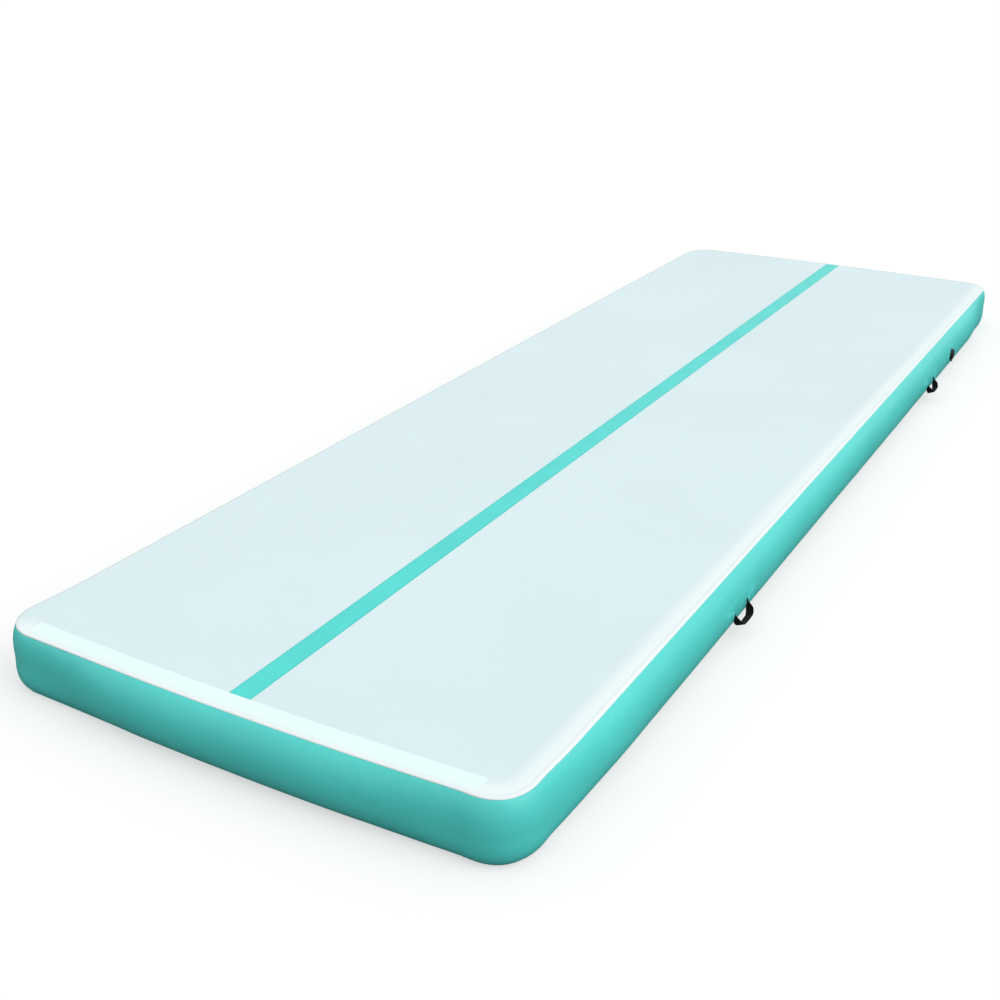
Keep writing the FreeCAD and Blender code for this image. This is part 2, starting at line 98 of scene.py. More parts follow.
joints = {joint["name"]: joint for joint in frame["joints"]}
HANDLES = {}  # a point on each carry loop's hinge line, midway between its ends
for handle in ("right_near", "right_far", "left_near", "left_far"):
    HANDLES[handle] = Vector(joints["handle_swing_" + handle]["pos_m"])
valve_low, valve_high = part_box("valve_nut")
valve_y, valve_z = (valve_low.y + valve_high.y) / 2, (valve_low.z + valve_high.z) / 2
VALVE = Vector((CROWN_X, valve_y, valve_z))  # where the valve's axis leaves the wall


# ------------ mesh helpers
def smooth(x):
    x = max(0.0, min(1.0, x))
    return x * x * (3 - 2 * x)


def placed(name, data):
    """An object in the scene with this mesh, light or camera."""
    obj = bpy.data.objects.new(name, data)
    bpy.context.scene.collection.objects.link(obj)
    return obj


def mesh_object(name, points, faces, uvs=None, sharp=None):
    """A mesh in the model's frame, shaded smooth, with UVs in metres if they are given."""
    mesh = bpy.data.meshes.new(name)
    mesh.from_pydata([tuple(p) for p in points], [], faces)
    mesh.validate()
    if uvs:
        layer = mesh.uv_layers.new(name="metres")
        for loop in mesh.loops:
            layer.data[loop.index].uv = uvs[loop.vertex_index]
    mesh.shade_smooth()
    if sharp:
        mesh.set_sharp_from_angle(angle=math.radians(sharp))
    return placed(name, mesh)


def rework(obj, change):
    """Runs one change on an object's mesh."""
    work = bmesh.new()
    work.from_mesh(obj.data)
    change(work)
    work.to_mesh(obj.data)
    work.free()
    return obj


def closed_mesh(name, points, faces, sharp, uvs=None):
    """A mesh that encloses its piece, with every face turned outwards."""
    obj = mesh_object(name, points, faces, uvs, sharp)
    return rework(obj, lambda work: bmesh.ops.recalc_face_normals(work, faces=work.faces))


def loft_faces(rows, columns, wrap_rows=False, wrap_columns=False, start=0):
    """Quads over a grid of points that is stored row by row."""
    faces = []
    for i in range(rows if wrap_rows else rows - 1):
        for j in range(columns if wrap_columns else columns - 1):
            a, b = start + i * columns, start + (i + 1) % rows * columns
            k = (j + 1) % columns
            faces.append((a + j, b + j, b + k, a + k))
    return faces


def flipped(faces):
    return [face[::-1] for face in faces]


def tube_faces(rows, columns, start=0):
    """Quads round a tube's rows and a cap on each end."""
    faces = loft_faces(rows, columns, wrap_columns=True, start=start)
    for first in (start, start + (rows - 1) * columns):
        faces.append(tuple(range(first, first + columns)))
    return faces


def thicken(obj, thickness):
    """Gives a skin its real thickness, behind the face that shows."""
    solidify = obj.modifiers.new("thickness", "SOLIDIFY")
    solidify.thickness = thickness
    solidify.offset = -1
    return obj


def finish_piece(obj, material, slot, *replaced, body="mat"):
    """Gives a piece its material, the body it rides on and the nodes it replaces. The slot is not
    used.
    """
    obj.data.materials.append(material)
    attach(obj, body)
    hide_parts(*replaced)


# ------------ materials' helpers
WAVE_RIBS = 3.2  # ribs in a metre of a wave texture of scale 1
CELL_SOFTNESS = 0.6


class Paint:
    """A procedural material under construction, on object coordinates in metres."""

    def __init__(self, name, roughness=0.5, specular=0.5):
        self.material = bpy.data.materials.new(name)
        self.material.use_nodes = True
        self.tree = self.material.node_tree
        self.shader = self.tree.nodes["Principled BSDF"]
        self.shader.inputs["Roughness"].default_value = roughness
        self.shader.inputs["Specular IOR Level"].default_value = specular
        self.place = self.add("TexCoord", {}, "Object")

    def add(self, kind, inputs, output=0, **settings):
        node = self.tree.nodes.new("ShaderNode" + kind)
        for key, value in settings.items():
            setattr(node, key, value)
        for key, value in inputs.items():
            if isinstance(value, bpy.types.NodeSocket):
                self.tree.links.new(value, node.inputs[key])
            else:
                node.inputs[key].default_value = value
        return node.outputs[output]

    def math(self, operation, a, b=0.0):
        return self.add("Math", {0: a, 1: b}, operation=operation)

    def ramp(self, value, low, high, out_low=0.0, out_high=1.0):
        inputs = {"Value": value, "From Min": low, "From Max": high}
        inputs.update({"To Min": out_low, "To Max": out_high})
        return self.add("MapRange", inputs, interpolation_type="SMOOTHSTEP")

    def mix(self, factor, a, b):
        return self.add("Mix", {0: factor, 6: a, 7: b}, 2, data_type="RGBA")

    def stretch(self, x, y, z):
        return self.add("Mapping", {"Vector": self.place, "Scale": (x, y, z)})

    def noise(self, per_m, detail=2.0, rough=0.5, source=None):
        inputs = {"Vector": source or self.place, "Scale": per_m, "Detail": detail}
        inputs["Roughness"] = rough
        return self.add("TexNoise", inputs)

    def clouds(self, per_m, detail=3.0, rough=0.5, low=0.3, high=0.7, out=(0.0, 1.0)):
        """Noise between two of its levels, stretched to the out range."""
        return self.ramp(self.noise(per_m, detail, rough), low, high, *out)

    def cells(self, per_m):
        inputs = {"Vector": self.place, "Scale": per_m, "Smoothness": CELL_SOFTNESS}
        return self.add("TexVoronoi", inputs, feature="SMOOTH_F1")

    def wave(self, scale, direction):
        inputs = {"Vector": self.place, "Scale": scale}
        return self.add("TexWave", inputs, 1, bands_direction=direction)

    def ribs(self, pitch, direction):
        return self.wave(1 / pitch / WAVE_RIBS, direction)

    def attribute(self, name):
        return self.add("Attribute", {}, "Fac", attribute_name=name)

    def bump(self, height, distance, below=None):
        inputs = {"Height": height, "Distance": distance}
        if below:
            inputs["Normal"] = below
        return self.add("Bump", inputs)

    def done(self, colour=None, roughness=None, normal=None):
        links = {"Base Color": colour, "Roughness": roughness, "Normal": normal}
        for key, socket in links.items():
            if socket is not None:
                self.tree.links.new(socket, self.shader.inputs[key])
        return self.material


def rgb(r, g, b):
    return (r, g, b, 1.0)


def shade(colour, factor):
    return (colour[0] * factor, colour[1] * factor, colour[2] * factor, 1.0)


# ------------ materials
GRAIN_PER_M = 620  # leather-like grain of the coating
SCRIM_PITCH = 0.0024  # base cloth that prints through the coating
RIB_PITCH = 0.0016  # of the webbing's weave
DIMPLE_PITCH = 0.011  # rows of drop-stitch yarns behind the sheet
COATING_DEPTH = 0.00009
PORES_PER_M = 2600
PORE_SHARE = 0.35  # of the grain's height
SCRIM_SHARE = 0.22
DIMPLE_DEPTH = 0.00008
FINE_DEPTH = 0.00004  # relief of the smoother surfaces
WELD_EDGE = (0.007, 0.002)  # from a tape's edge: the weld's darkening starts, and is full
HERRINGBONE_TURN = 2.5  # rib pitches between the turns of the webbing's herringbone
WARP_PITCH = 0.8  # of the rib pitch
WEAVE_DEPTH = 0.00025
SPARK_PER_M = 420  # texture of the valve's mould
SPARK_DEPTH = 0.00005
WIRE_DEPTH = 0.00002
YARN_STRANDS = 330
YARN_DEPTH = 0.0004


def coating(paint, depth=COATING_DEPTH):
    """Relief of coated fabric: pebbled grain over the faint print of its base cloth."""
    grain = paint.cells(GRAIN_PER_M)
    fine = paint.noise(PORES_PER_M, 1.0)
    along = paint.ribs(SCRIM_PITCH, "Y")
    across = paint.ribs(SCRIM_PITCH, "X")
    scrim = paint.math("MULTIPLY", paint.math("ADD", along, across), SCRIM_SHARE)
    height = paint.math("ADD", grain, paint.math("MULTIPLY", fine, PORE_SHARE))
    return paint.bump(paint.math("ADD", height, scrim), depth)


def coated_fabric(name, colour, roughness, mottle, specular=0.38, dull=None):
    """Satin PVC-coated cloth with uneven dye and handling marks.

    If a dull colour is given, it is painted shade: the piece takes it where its "white" attribute
    is low."""
    paint = Paint(name, roughness, specular)
    broad = paint.clouds(2.3)
    small = paint.clouds(34, 4.0, 0.6, low=0.35)
    base = paint.mix(broad, shade(colour, 1 - mottle), shade(colour, 1 + mottle * 0.6))
    base = paint.mix(paint.math("MULTIPLY", small, 0.25), base, shade(colour, 1 - mottle * 1.6))
    if dull:
        # Painted shade: the dull colour on the left and far sides, where the "white" attribute is
        # low.
        base = paint.mix(paint.attribute("white"), dull, base)
    gloss = (roughness - 0.05, roughness + 0.06)
    smudge = paint.clouds(9, 5.0, 0.65, high=0.75, out=gloss)
    return paint.done(base, smudge, coating(paint))


def top_fabric(name, colour, highlight_colour):
    """The top sheet, with a painted highlight towards its rim on the near end and right side, and
    faint rows of drop-stitch dimples.
    """
    paint = Paint(name, roughness=0.45, specular=0.15)
    cloud = paint.clouds(1.7, high=0.72)
    speck = paint.clouds(26, 4.0, 0.6, low=0.35)
    base = paint.mix(cloud, shade(colour, 0.985), shade(colour, 1.02))
    base = paint.mix(paint.math("MULTIPLY", speck, 0.3), base, shade(colour, 0.97))
    # Painted highlight: the rim of the near end and right side is painted paler, by the rim
    # attribute.
    base = paint.mix(paint.attribute("rim"), base, highlight_colour)
    rows, stitches = paint.ribs(DIMPLE_PITCH, "X"), paint.ribs(DIMPLE_PITCH, "Y")
    dimples = paint.bump(paint.math("MULTIPLY", rows, stitches), DIMPLE_DEPTH)
    normal = paint.bump(paint.cells(GRAIN_PER_M), FINE_DEPTH, dimples)
    worn = paint.clouds(6, 5.0, 0.65, high=0.75, out=(0.42, 0.52))
    return paint.done(base, worn, normal)


def welded_tape(name, colour, edge_colour, half_width):
    """Tape whose long edges are darker where they were welded, on UVs across and along."""
    paint = Paint(name, roughness=0.36, specular=0.12)
    uv = paint.add("UVMap", {}, uv_map="metres")
    off = paint.math("ABSOLUTE", paint.add("SeparateXYZ", {"Vector": uv}))
    edge = paint.ramp(off, half_width - WELD_EDGE[0], half_width - WELD_EDGE[1])
    base = paint.mix(paint.clouds(5), shade(colour, 0.97), shade(colour, 1.03))
    base = paint.mix(edge, base, edge_colour)
    worn = paint.clouds(14, 4.0, 0.6, high=0.75, out=(0.32, 0.44))
    return paint.done(base, worn, coating(paint, FINE_DEPTH))


def woven(name, dark, light, pitch):
    """Polyester webbing: a herringbone of ribs, on UVs across and along in metres."""
    paint = Paint(name, roughness=0.82, specular=0.12)
    paint.shader.inputs["Sheen Weight"].default_value = 0.05
    paint.shader.inputs["Sheen Roughness"].default_value = 0.45
    uv = paint.add("UVMap", {}, uv_map="metres")
    across = paint.add("SeparateXYZ", {"Vector": uv})
    along = across.node.outputs[1]
    slant = paint.math("ADD", along, paint.math("PINGPONG", across, pitch * HERRINGBONE_TURN))
    ribs = paint.math("SINE", paint.math("MULTIPLY", slant, 2 * math.pi / pitch))
    warp_turns = 2 * math.pi / (pitch * WARP_PITCH)
    warp = paint.math("SINE", paint.math("MULTIPLY", across, warp_turns))
    weave = paint.ramp(paint.math("MULTIPLY", ribs, warp), -0.9, 0.9)
    dusty = paint.clouds(60, 4.0, 0.65, low=0.4, high=0.8, out=(0.0, 0.5))
    base = paint.mix(weave, dark, light)
    base = paint.mix(dusty, base, shade(light, 1.3))
    fuzz = paint.math("MULTIPLY", paint.noise(1900), 0.4)
    return paint.done(base, None, paint.bump(paint.math("ADD", weave, fuzz), WEAVE_DEPTH))


def moulded(name, colour, roughness):
    """Injection-moulded plastic: spark-eroded texture, scuffed a little."""
    paint = Paint(name, roughness, specular=0.5)
    scuff = paint.clouds(180, 5.0, 0.7, low=0.45, high=0.75, out=(0.0, 0.6))
    base = paint.mix(scuff, colour, shade(colour, 1.7))
    gloss = (roughness - 0.06, roughness + 0.12)
    worn = paint.clouds(90, 4.0, 0.6, high=0.75, out=gloss)
    erosion = paint.math("ADD", paint.cells(SPARK_PER_M * 3), paint.noise(SPARK_PER_M * 8))
    return paint.done(base, worn, paint.bump(erosion, SPARK_DEPTH))


def rubber(name, colour):
    """Soft seal rubber with a dull bloom."""
    paint = Paint(name, roughness=0.7, specular=0.35)
    bloom = paint.clouds(140, 5.0, 0.7, low=0.35, high=0.75, out=(0.0, 0.7))
    base = paint.mix(bloom, colour, shade(colour, 1.9))
    dull = paint.clouds(70, high=0.75, out=(0.62, 0.82))
    return paint.done(base, dull, paint.bump(paint.noise(2400, 3.0), FINE_DEPTH))


def drawn_wire(name, colour):
    """Spring steel with draw marks along it."""
    paint = Paint(name, roughness=0.3, specular=0.5)
    paint.shader.inputs["Metallic"].default_value = 1.0
    marks = paint.noise(900, 3.0, 0.6, paint.stretch(0.1, 1, 1))
    base = paint.mix(marks, shade(colour, 0.8), shade(colour, 1.1))
    gloss = paint.ramp(marks, 0.3, 0.7, 0.22, 0.42)
    return paint.done(base, gloss, paint.bump(marks, WIRE_DEPTH))


def twisted_yarn(name, colour):
    """Bundles of drop-stitch yarn: fine strands with a slow twist."""
    paint = Paint(name, roughness=0.85, specular=0.25)
    strands = paint.wave(YARN_STRANDS, "DIAGONAL")
    fibre = paint.noise(1500, 3.0, 0.6, paint.stretch(1, 1, 0.08))
    base = paint.mix(paint.math("MULTIPLY", strands, fibre), shade(colour, 0.72), colour)
    return paint.done(base, None, paint.bump(paint.math("ADD", strands, fibre), YARN_DEPTH))


TEAL = rgb(0.085, 0.655, 0.605)
TEAL_EDGE = rgb(0.070, 0.560, 0.520)
PALE = rgb(0.640, 0.775, 0.800)
# painted highlight on the top sheet's rim, along the near end and right side
RIM_HIGHLIGHT = rgb(0.760, 0.850, 0.860)
WHITE = rgb(0.780, 0.840, 0.855)
# painted shade of the white seam tape on the left and far sides
PAINTED_SHADE_WHITE = rgb(0.610, 0.715, 0.730)
COOL_WHITE = rgb(0.740, 0.900, 0.890)
BLACK_WEB = rgb(0.003, 0.0032, 0.0035)
GREY_WEB = rgb(0.011, 0.0115, 0.012)

top_material = top_fabric("pale_top_fabric", PALE, RIM_HIGHLIGHT)
bottom_material = coated_fabric("teal_bottom_fabric", shade(TEAL, 0.9), 0.5, mottle=0.07)
wall_material = coated_fabric("teal_wall_fabric", TEAL, 0.40, mottle=0.04)
liner_material = coated_fabric("grey_liner_fabric", rgb(0.33, 0.36, 0.37), 0.6, mottle=0.08)
patch_material = coated_fabric("teal_patch_fabric", shade(TEAL, 0.98), 0.42, mottle=0.05)
white_tape = coated_fabric("white_seam_tape", WHITE, 0.42, 0.02, 0.2, dull=PAINTED_SHADE_WHITE)
teal_tape = coated_fabric("teal_seam_tape", shade(TEAL, 0.92), 0.42, mottle=0.05)
end_material = coated_fabric("cool_white_tape", COOL_WHITE, 0.42, 0.015, 0.2)
stripe_low, stripe_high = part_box("centre_stripe")
STRIPE_HALF = (stripe_high.x - stripe_low.x) / 2
stripe_material = welded_tape("teal_stripe_tape", TEAL, TEAL_EDGE, STRIPE_HALF)
webbing_material = woven("black_webbing", BLACK_WEB, GREY_WEB, RIB_PITCH)
valve_material = moulded("black_moulded_plastic", rgb(0.022, 0.023, 0.026), 0.42)
stem_material = moulded("grey_moulded_plastic", rgb(0.26, 0.27, 0.28), 0.4)
rubber_material = rubber("black_seal_rubber", rgb(0.020, 0.020, 0.021))
spring_material = drawn_wire("spring_wire", rgb(0.60, 0.60, 0.61))
yarn_material = twisted_yarn("drop_stitch_yarn", rgb(0.80, 0.80, 0.77))


# ------------ the seam line
CORNER_SHIFT = {  # how far the air pushes two of the corners out of their place
    (1, -1): Vector((-0.011, 0, 0)),
    (-1, -1): Vector((-0.016, -0.004, 0)),
}
SHIFT_REACH = 0.32
CORNER_TIP = {  # and the very tip of one, which is more pointed than the rest
    (1, -1): Vector((0.009, -0.011, 0)),
}
TIP_REACH = 0.15


def corner_distance(x, y):
    """Which corner is nearest, and how far its bend's middle is."""
    side, end = (1 if x > 0 else -1), (1 if y > 0 else -1)
    diagonal = CORNER_RADIUS * math.sqrt(0.5)  # along each axis, to the bend's middle
    away = math.hypot(x - side * (CORNER_X + diagonal), y - end * (CORNER_Y + diagonal))
    return (side, end), away


class Station:
    """A place on the seam line, seen from above: its point and its outward direction."""

    def __init__(self, x, y, nx, ny):
        self.base = Vector((x, y, 0))
        self.out = Vector((nx, ny, 0))
        self.along = Vector((-ny, nx, 0))
        corner, away = corner_distance(x, y)
        self.shift = CORNER_SHIFT.get(corner, Vector()) * (1 - smooth(away / SHIFT_REACH))
        self.shift += CORNER_TIP.get(corner, Vector()) * (1 - smooth(away / TIP_REACH))

    def white(self):
        """1 along the near end and the right side and 0 elsewhere: 1 gives the top sheet's rim its
        painted highlight, and 0 gives the white seam tape its painted shade.
        """
        return smooth(0.5 + (self.out.x - self.out.y) / 1.4)

    def at(self, beyond, z):
        """The point this far beyond the seam line, at this height."""
        hold = 1 - smooth(-beyond / CORNER_RADIUS)
        return self.base + self.shift * hold + self.out * beyond + Vector((0, 0, z))


def arc_stations(cx, cy, radius, start, end, cells):
    found = []
    for i in range(cells):
        turn = start + (end - start) * i / cells
        nx, ny = math.cos(turn), math.sin(turn)
        found.append(Station(cx + radius * nx, cy + radius * ny, nx, ny))
    return found


def side_stations(side, side_y):
    return [Station(side * SEAM_X, y, side, 0) for y in side_y]


def seam_stations(side_y, end_cells, corner_cells):
    """The whole seam line, anticlockwise from the near end of the right side."""
    q, phi = math.pi / 2, BOW_ANGLE
    x, y, r, bow = CORNER_X, CORNER_Y, CORNER_RADIUS, END_BOW_RADIUS
    back_y = [-v for v in side_y]
    return (
        side_stations(1, side_y)
        + arc_stations(x, y, r, 0, q - phi, corner_cells)
        + arc_stations(0, -BOW_CENTRE, bow, q - phi, q + phi, end_cells)
        + arc_stations(-x, y, r, q + phi, 2 * q, corner_cells)
        + side_stations(-1, back_y)
        + arc_stations(-x, -y, r, 2 * q, 3 * q - phi, corner_cells)
        + arc_stations(0, BOW_CENTRE, bow, 3 * q - phi, 3 * q + phi, end_cells)
        + arc_stations(x, -y, r, 3 * q + phi, 4 * q, corner_cells)
    )


def even_side(cells):
    """Steps along a side, whose last point is left to the corner that follows."""
    return [-CORNER_Y + 2 * CORNER_Y * i / cells for i in range(cells)]


def fine_side(cell, fine_cell, reach):
    """The same with closer steps beside the valve, whose hole the wall leaves open."""
    side_y, y = [], -CORNER_Y
    while y < CORNER_Y - cell / 2:
        side_y.append(y)
        y += fine_cell if abs(abs(y) - VALVE.y) < reach else cell
    return side_y


VALVE_REACH = 0.045  # the closer steps run this far each way from the valve's middle
WALL_STATIONS = seam_stations(fine_side(0.015, 0.004, VALVE_REACH), 108, 20)
LINER_STATIONS = seam_stations(fine_side(0.030, 0.006, VALVE_REACH), 54, 12)


# ------------ shapes under air
UPPER_FULLNESS = 0.0025  # the wall is this much fuller than an arc above its crown
LOWER_FULLNESS = 0.0035  # and below it, where the mat's weight presses it out
CORNER_DRAW = {  # how far each corner draws its wall's crown in
    (1, -1): 0.018, (-1, -1): 0.031, (1, 1): 0.036, (-1, 1): 0.024
}
CORNER_HEEL = 0.004  # the near corners are this much fuller below their crown
SWELL = 0.0016  # slow waves of the inflated wall
CREASE = 0.0006  # soft slanting wrinkles
PUCKER = 0.0007  # gathers where the wall leaves the seam
CORNER_GATHER = 0.0024  # the same, deeper, round the corners
SWELLS_PER_M, CREASES_PER_M, GATHERS_PER_M = 2.1, 7.5, 26
SWELL_SLANT, CREASE_SLANT = 1.6, 2.4  # metres along the mat for each metre up
GATHER_START = 0.006  # gathers grow over this much of the wall from its edge
SEAM_GATHER, FOOT_GATHER = 0.045, 0.035  # and have died out this far from top and foot
FOOT_SHARE = 0.6  # of the gathers' depth
CALM_NEAR, CALM_FADE = 0.10, 0.14  # waves start this far from hardware, growing over this
DRAW_FULL, DRAW_FADE = 0.08, 0.52  # a corner draws fully this near its bend, then fades
HEEL_FULL, HEEL_FADE = 0.06, 0.30
SHEET_WAVE = 0.0006  # slow waves of the top sheet, away from its rim


def calm(place):
    """0 beside the handles and the valve, where hardware holds the wall, and 1 elsewhere."""
    near = [(place - h).length for h in HANDLES.values()] + [(place - VALVE).length]
    return smooth((min(near) - CALM_NEAR) / CALM_FADE)


def corner_share(station):
    """1 on a corner's bend and 0 on the straights."""
    bent = min(abs(station.out.x), abs(station.out.y)) / math.sin(math.pi / 4)
    return smooth(bent * 1.2)


def corner_draw(station):
    """How far the nearest corner draws the wall's crown in."""
    corner, away = corner_distance(station.base.x, station.base.y)
    return CORNER_DRAW[corner] * (1 - smooth((away - DRAW_FULL) / DRAW_FADE))


def corner_heel(station):
    """1 at the near corners' bends, 0 away from them."""
    (_, end), away = corner_distance(station.base.x, station.base.y)
    return 1 - smooth((away - HEEL_FULL) / HEEL_FADE) if end < 0 else 0.0


def wander(station, rise, slant, per_m, seed):
    """Smooth noise along the wall, whose pattern leans as it goes up."""
    place = station.base + station.along * rise * slant
    return noise.noise(place * per_m + Vector(seed))


def gathered(run, reach):
    """1 where gathers are deepest and 0 at the wall's edge and past the reach."""
    return smooth(run / GATHER_START) * (1 - smooth(run / reach))


def wall_relief(station, angle):
    """How far the air pushes the wall out of its plain arc here."""
    z = WALL_MID + WALL_RADIUS * math.sin(angle)
    free = 1 - (angle / WALL_ANGLE) ** 2
    rise = z - WALL_MID
    slow = wander(station, rise, SWELL_SLANT, SWELLS_PER_M, (0, 0, 0.7))
    wrinkle = wander(station, rise, CREASE_SLANT, CREASES_PER_M, (3.1, 0, z * 2.0))
    gather = wander(station, rise, 0, GATHERS_PER_M, (0, 0, 5.0))
    depth = PUCKER + (CORNER_GATHER - PUCKER) * corner_share(station)
    near_seam = gathered(WALL_RADIUS * (WALL_ANGLE - angle), SEAM_GATHER)
    near_foot = gathered(WALL_RADIUS * (WALL_ANGLE + angle), FOOT_GATHER)
    relief = SWELL * slow * free + CREASE * wrinkle * free
    relief += depth * gather * (near_seam + FOOT_SHARE * near_foot)
    lower = LOWER_FULLNESS + CORNER_HEEL * corner_heel(station)
    fullness = 4 * free * (1 - free) * (UPPER_FULLNESS if angle > 0 else lower)
    return relief * calm(station.at(BULGE, z)) + fullness - corner_draw(station) * free


def wall_point(station, angle, out=0.0):
    """A point of the inflated wall, out from its outer face."""
    radius = WALL_RADIUS + out + wall_relief(station, angle)
    return station.at(WALL_CENTRE + radius * math.cos(angle), WALL_MID + radius * math.sin(angle))


def sheet_height(inset, x=0.0, y=0.0):
    """Upper face of the top sheet, this far inside the seam line."""
    edge = max(0.0, 1 - inset / SHOULDER_WIDTH)
    wave = noise.noise(Vector((x * 1.9, y * 1.5, 2.0))) * SHEET_WAVE
    wave *= smooth((inset - SHOULDER_WIDTH) / 0.2)
    roll = max(0.0, 1 - inset / ROLL_WIDTH)
    return SHEET_TOP - SHOULDER_DROP * edge ** 2 - ROLL_DROP * roll ** 2 + wave


def sheet_depth(inset):
    """Lower face of the bottom sheet, this far inside the seam line."""
    return SHEET_FLOOR + HEEL_RISE * max(0.0, 1 - inset / HEEL_WIDTH) ** 2


def inset_of(x, y):
    """How far a point of the mat is inside the seam line."""
    ax, ay = abs(x), abs(y)
    if ax > CORNER_X and ay > CORNER_Y:
        return CORNER_RADIUS - math.hypot(ax - CORNER_X, ay - CORNER_Y)
    end = END_BOW_RADIUS - math.hypot(ax, ay + BOW_CENTRE)
    return min(SEAM_X - ax, end)


# ------------ top and bottom
SIDE_CELLS = 186
END_CELLS = 54
CORNER_CELLS = 10
RIM_INSETS = (
    0.001, 0.0028, 0.005, 0.0075, 0.010, 0.014, 0.019, 0.026, 0.034, 0.043, 0.053, 0.065,
    0.080, 0.098, 0.118,
)
HIGHLIGHT_START, HIGHLIGHT_FADE = 0.035, 0.05  # the painted highlight on the rim is this wide, and fades over this


def sheet_skin(name, height_at):
    """A sheet inside the seam line: rings round its rim, and a grid inside the rings."""
    stations = seam_stations(even_side(SIDE_CELLS), END_CELLS, CORNER_CELLS)
    insets = RIM_INSETS + (CORNER_RADIUS,)
    points, highlight_shares = [], []
    for inset in insets:
        for station in stations:
            place = station.at(-inset, 0)
            points.append((place.x, place.y, height_at(inset, place.x, place.y)))
            # share of the rim's painted highlight: near the seam, on the near end and right side
            # only
            highlight_shares.append((1 - smooth((inset - HIGHLIGHT_START) / HIGHLIGHT_FADE)) * station.white())
    faces = loft_faces(len(insets), len(stations), wrap_columns=True)
    start = len(points)
    reach = END_BOW_RADIUS - CORNER_RADIUS
    for j in range(SIDE_CELLS + 1):
        for i in range(END_CELLS + 1):
            turn = BOW_ANGLE * (2 * i / END_CELLS - 1)
            x = reach * math.sin(turn)
            y = (reach * math.cos(turn) - BOW_CENTRE) * (2 * j / SIDE_CELLS - 1)
            inset = inset_of(x, y)
            points.append((x, y, height_at(inset, x, y)))
            highlight_shares.append(0.0)
    faces += loft_faces(SIDE_CELLS + 1, END_CELLS + 1, start=start)
    obj = mesh_object(name, points, flipped(faces))
    point_values(obj, "rim", highlight_shares)
    return rework(obj, weld)


def point_values(obj, name, values):
    """A number on each point of a mesh, for its material to read."""
    obj.data.attributes.new(name, "FLOAT", "POINT").data.foreach_set("value", values)


def weld(work):
    """Joins points in the same place, so that the skin is one surface."""
    bmesh.ops.remove_doubles(work, verts=work.verts, dist=0.02 * MM)


mat_top = sheet_skin("mat_top", sheet_height)
thicken(mat_top, SKIN)
finish_piece(mat_top, top_material, "top_skin", "top_sheet")

mat_bottom = sheet_skin("mat_bottom", lambda inset, x, y: sheet_depth(inset))
mat_bottom.data.flip_normals()
thicken(mat_bottom, SKIN)
finish_piece(mat_bottom, bottom_material, "bottom_skin", "bottom_sheet")


# ------------ walls
WALL_NAMES = ("right", "left", "near_end", "far_end")
HOLE_REACH = 0.0225  # faces this near the valve's axis are left out of the wall
WALL_LAPS = (0.030, 0.018, 0.008, 0.002)  # insets of the laps under the sheets' edges
LINER_LAPS = (0.045, 0.025, 0.010, 0.003)


def wall_band(name, stations, out, laps, rows):
    """A layer of wall: a lap under the top sheet, the bulge, and a lap on the bottom sheet."""
    depth = SKIN - out
    points = []
    angles = [WALL_ANGLE * (1 - 2 * i / rows) for i in range(rows + 1)]
    for station in stations:
        for inset in laps:
            points.append(station.at(-inset, sheet_height(inset) - depth))
        for angle in angles[1:-1]:
            points.append(wall_point(station, angle, out))
        for inset in reversed(laps):
            points.append(station.at(-inset, sheet_depth(inset) + depth))
    columns = len(points) // len(stations)
    faces = []
    for face in loft_faces(len(stations), columns, wrap_rows=True):
        middle = sum((points[i] for i in face), Vector()) / 4
        if middle.x < 0 or math.hypot(middle.y - VALVE.y, middle.z - VALVE.z) > HOLE_REACH:
            faces.append(face[::-1])
    return thicken(mesh_object(name, points, faces), SKIN)


mat_wall = wall_band("mat_wall", WALL_STATIONS, 0.0, WALL_LAPS, 30)
finish_piece(mat_wall, wall_material, "wall_skin", *["outer_wall_" + n for n in WALL_NAMES])

liner = wall_band("mat_wall_liner", LINER_STATIONS, -SKIN - LAYER_GAP, LINER_LAPS, 24)
finish_piece(liner, liner_material, "liner_skin", *["inner_wall_" + n for n in WALL_NAMES])

JOINT_TAPE_WIDTH = 0.050
JOINT_TAPE_HALF = 0.088  # half its length, up the wall
JOINT_TAPE_CELLS = 4
JOINT_TAPE_STEPS = 16


def joint_tapes():
    """Four tapes inside the walls, where their strips meet."""
    points, faces = [], []
    reach = JOINT_TAPE_HALF / WALL_RADIUS
    depth = -2 * (SKIN + LAYER_GAP) - LAYER_GAP
    for side in (1, -1):
        for end in (1, -1):
            start = len(points)
            for step in range(JOINT_TAPE_CELLS + 1):
                y = end * (CORNER_Y - JOINT_TAPE_WIDTH * step / JOINT_TAPE_CELLS)
                station = Station(side * SEAM_X, y, side, 0)
                for i in range(JOINT_TAPE_STEPS + 1):
                    angle = reach * (1 - 2 * i / JOINT_TAPE_STEPS)
                    points.append(wall_point(station, angle, depth))
            strip = loft_faces(JOINT_TAPE_CELLS + 1, JOINT_TAPE_STEPS + 1, start=start)
            faces += strip if side * end > 0 else flipped(strip)
    return thicken(mesh_object("mat_wall_joint_tapes", points, faces), TAPE)


finish_piece(joint_tapes(), teal_tape, "teal_tape", "wall_joint_tapes")


# ------------ seam tapes
TAPE_INSETS = (
    SEAM_TAPE_WIDTH, SEAM_TAPE_WIDTH - 0.0008, 0.011, 0.009, 0.007, 0.005, 0.0032, 0.0014,
)
TAPE_LIFTS = (0.0, 0.85, 1.0, 1.0, 1.0, 1.0, 1.0, 1.0)  # shares of its thickness there
TAPE_TURNS = (0.0004, 0.0008, SEAM_TAPE_TURN)  # points of it down the wall
TAPE_OVERHANG = 0.0004  # where it goes round the edge
TAPE_FEATHER = 0.0006  # its end thins out over this, down to the next
TAPE_THIN = 0.0001
TAPE_UNDER = (0.002, 0.0006, 0.0005)  # its hidden corner: inset, depth, depth at the far edge
TAPE_RIPPLE = 0.00035
RIPPLES_PER_M = 19


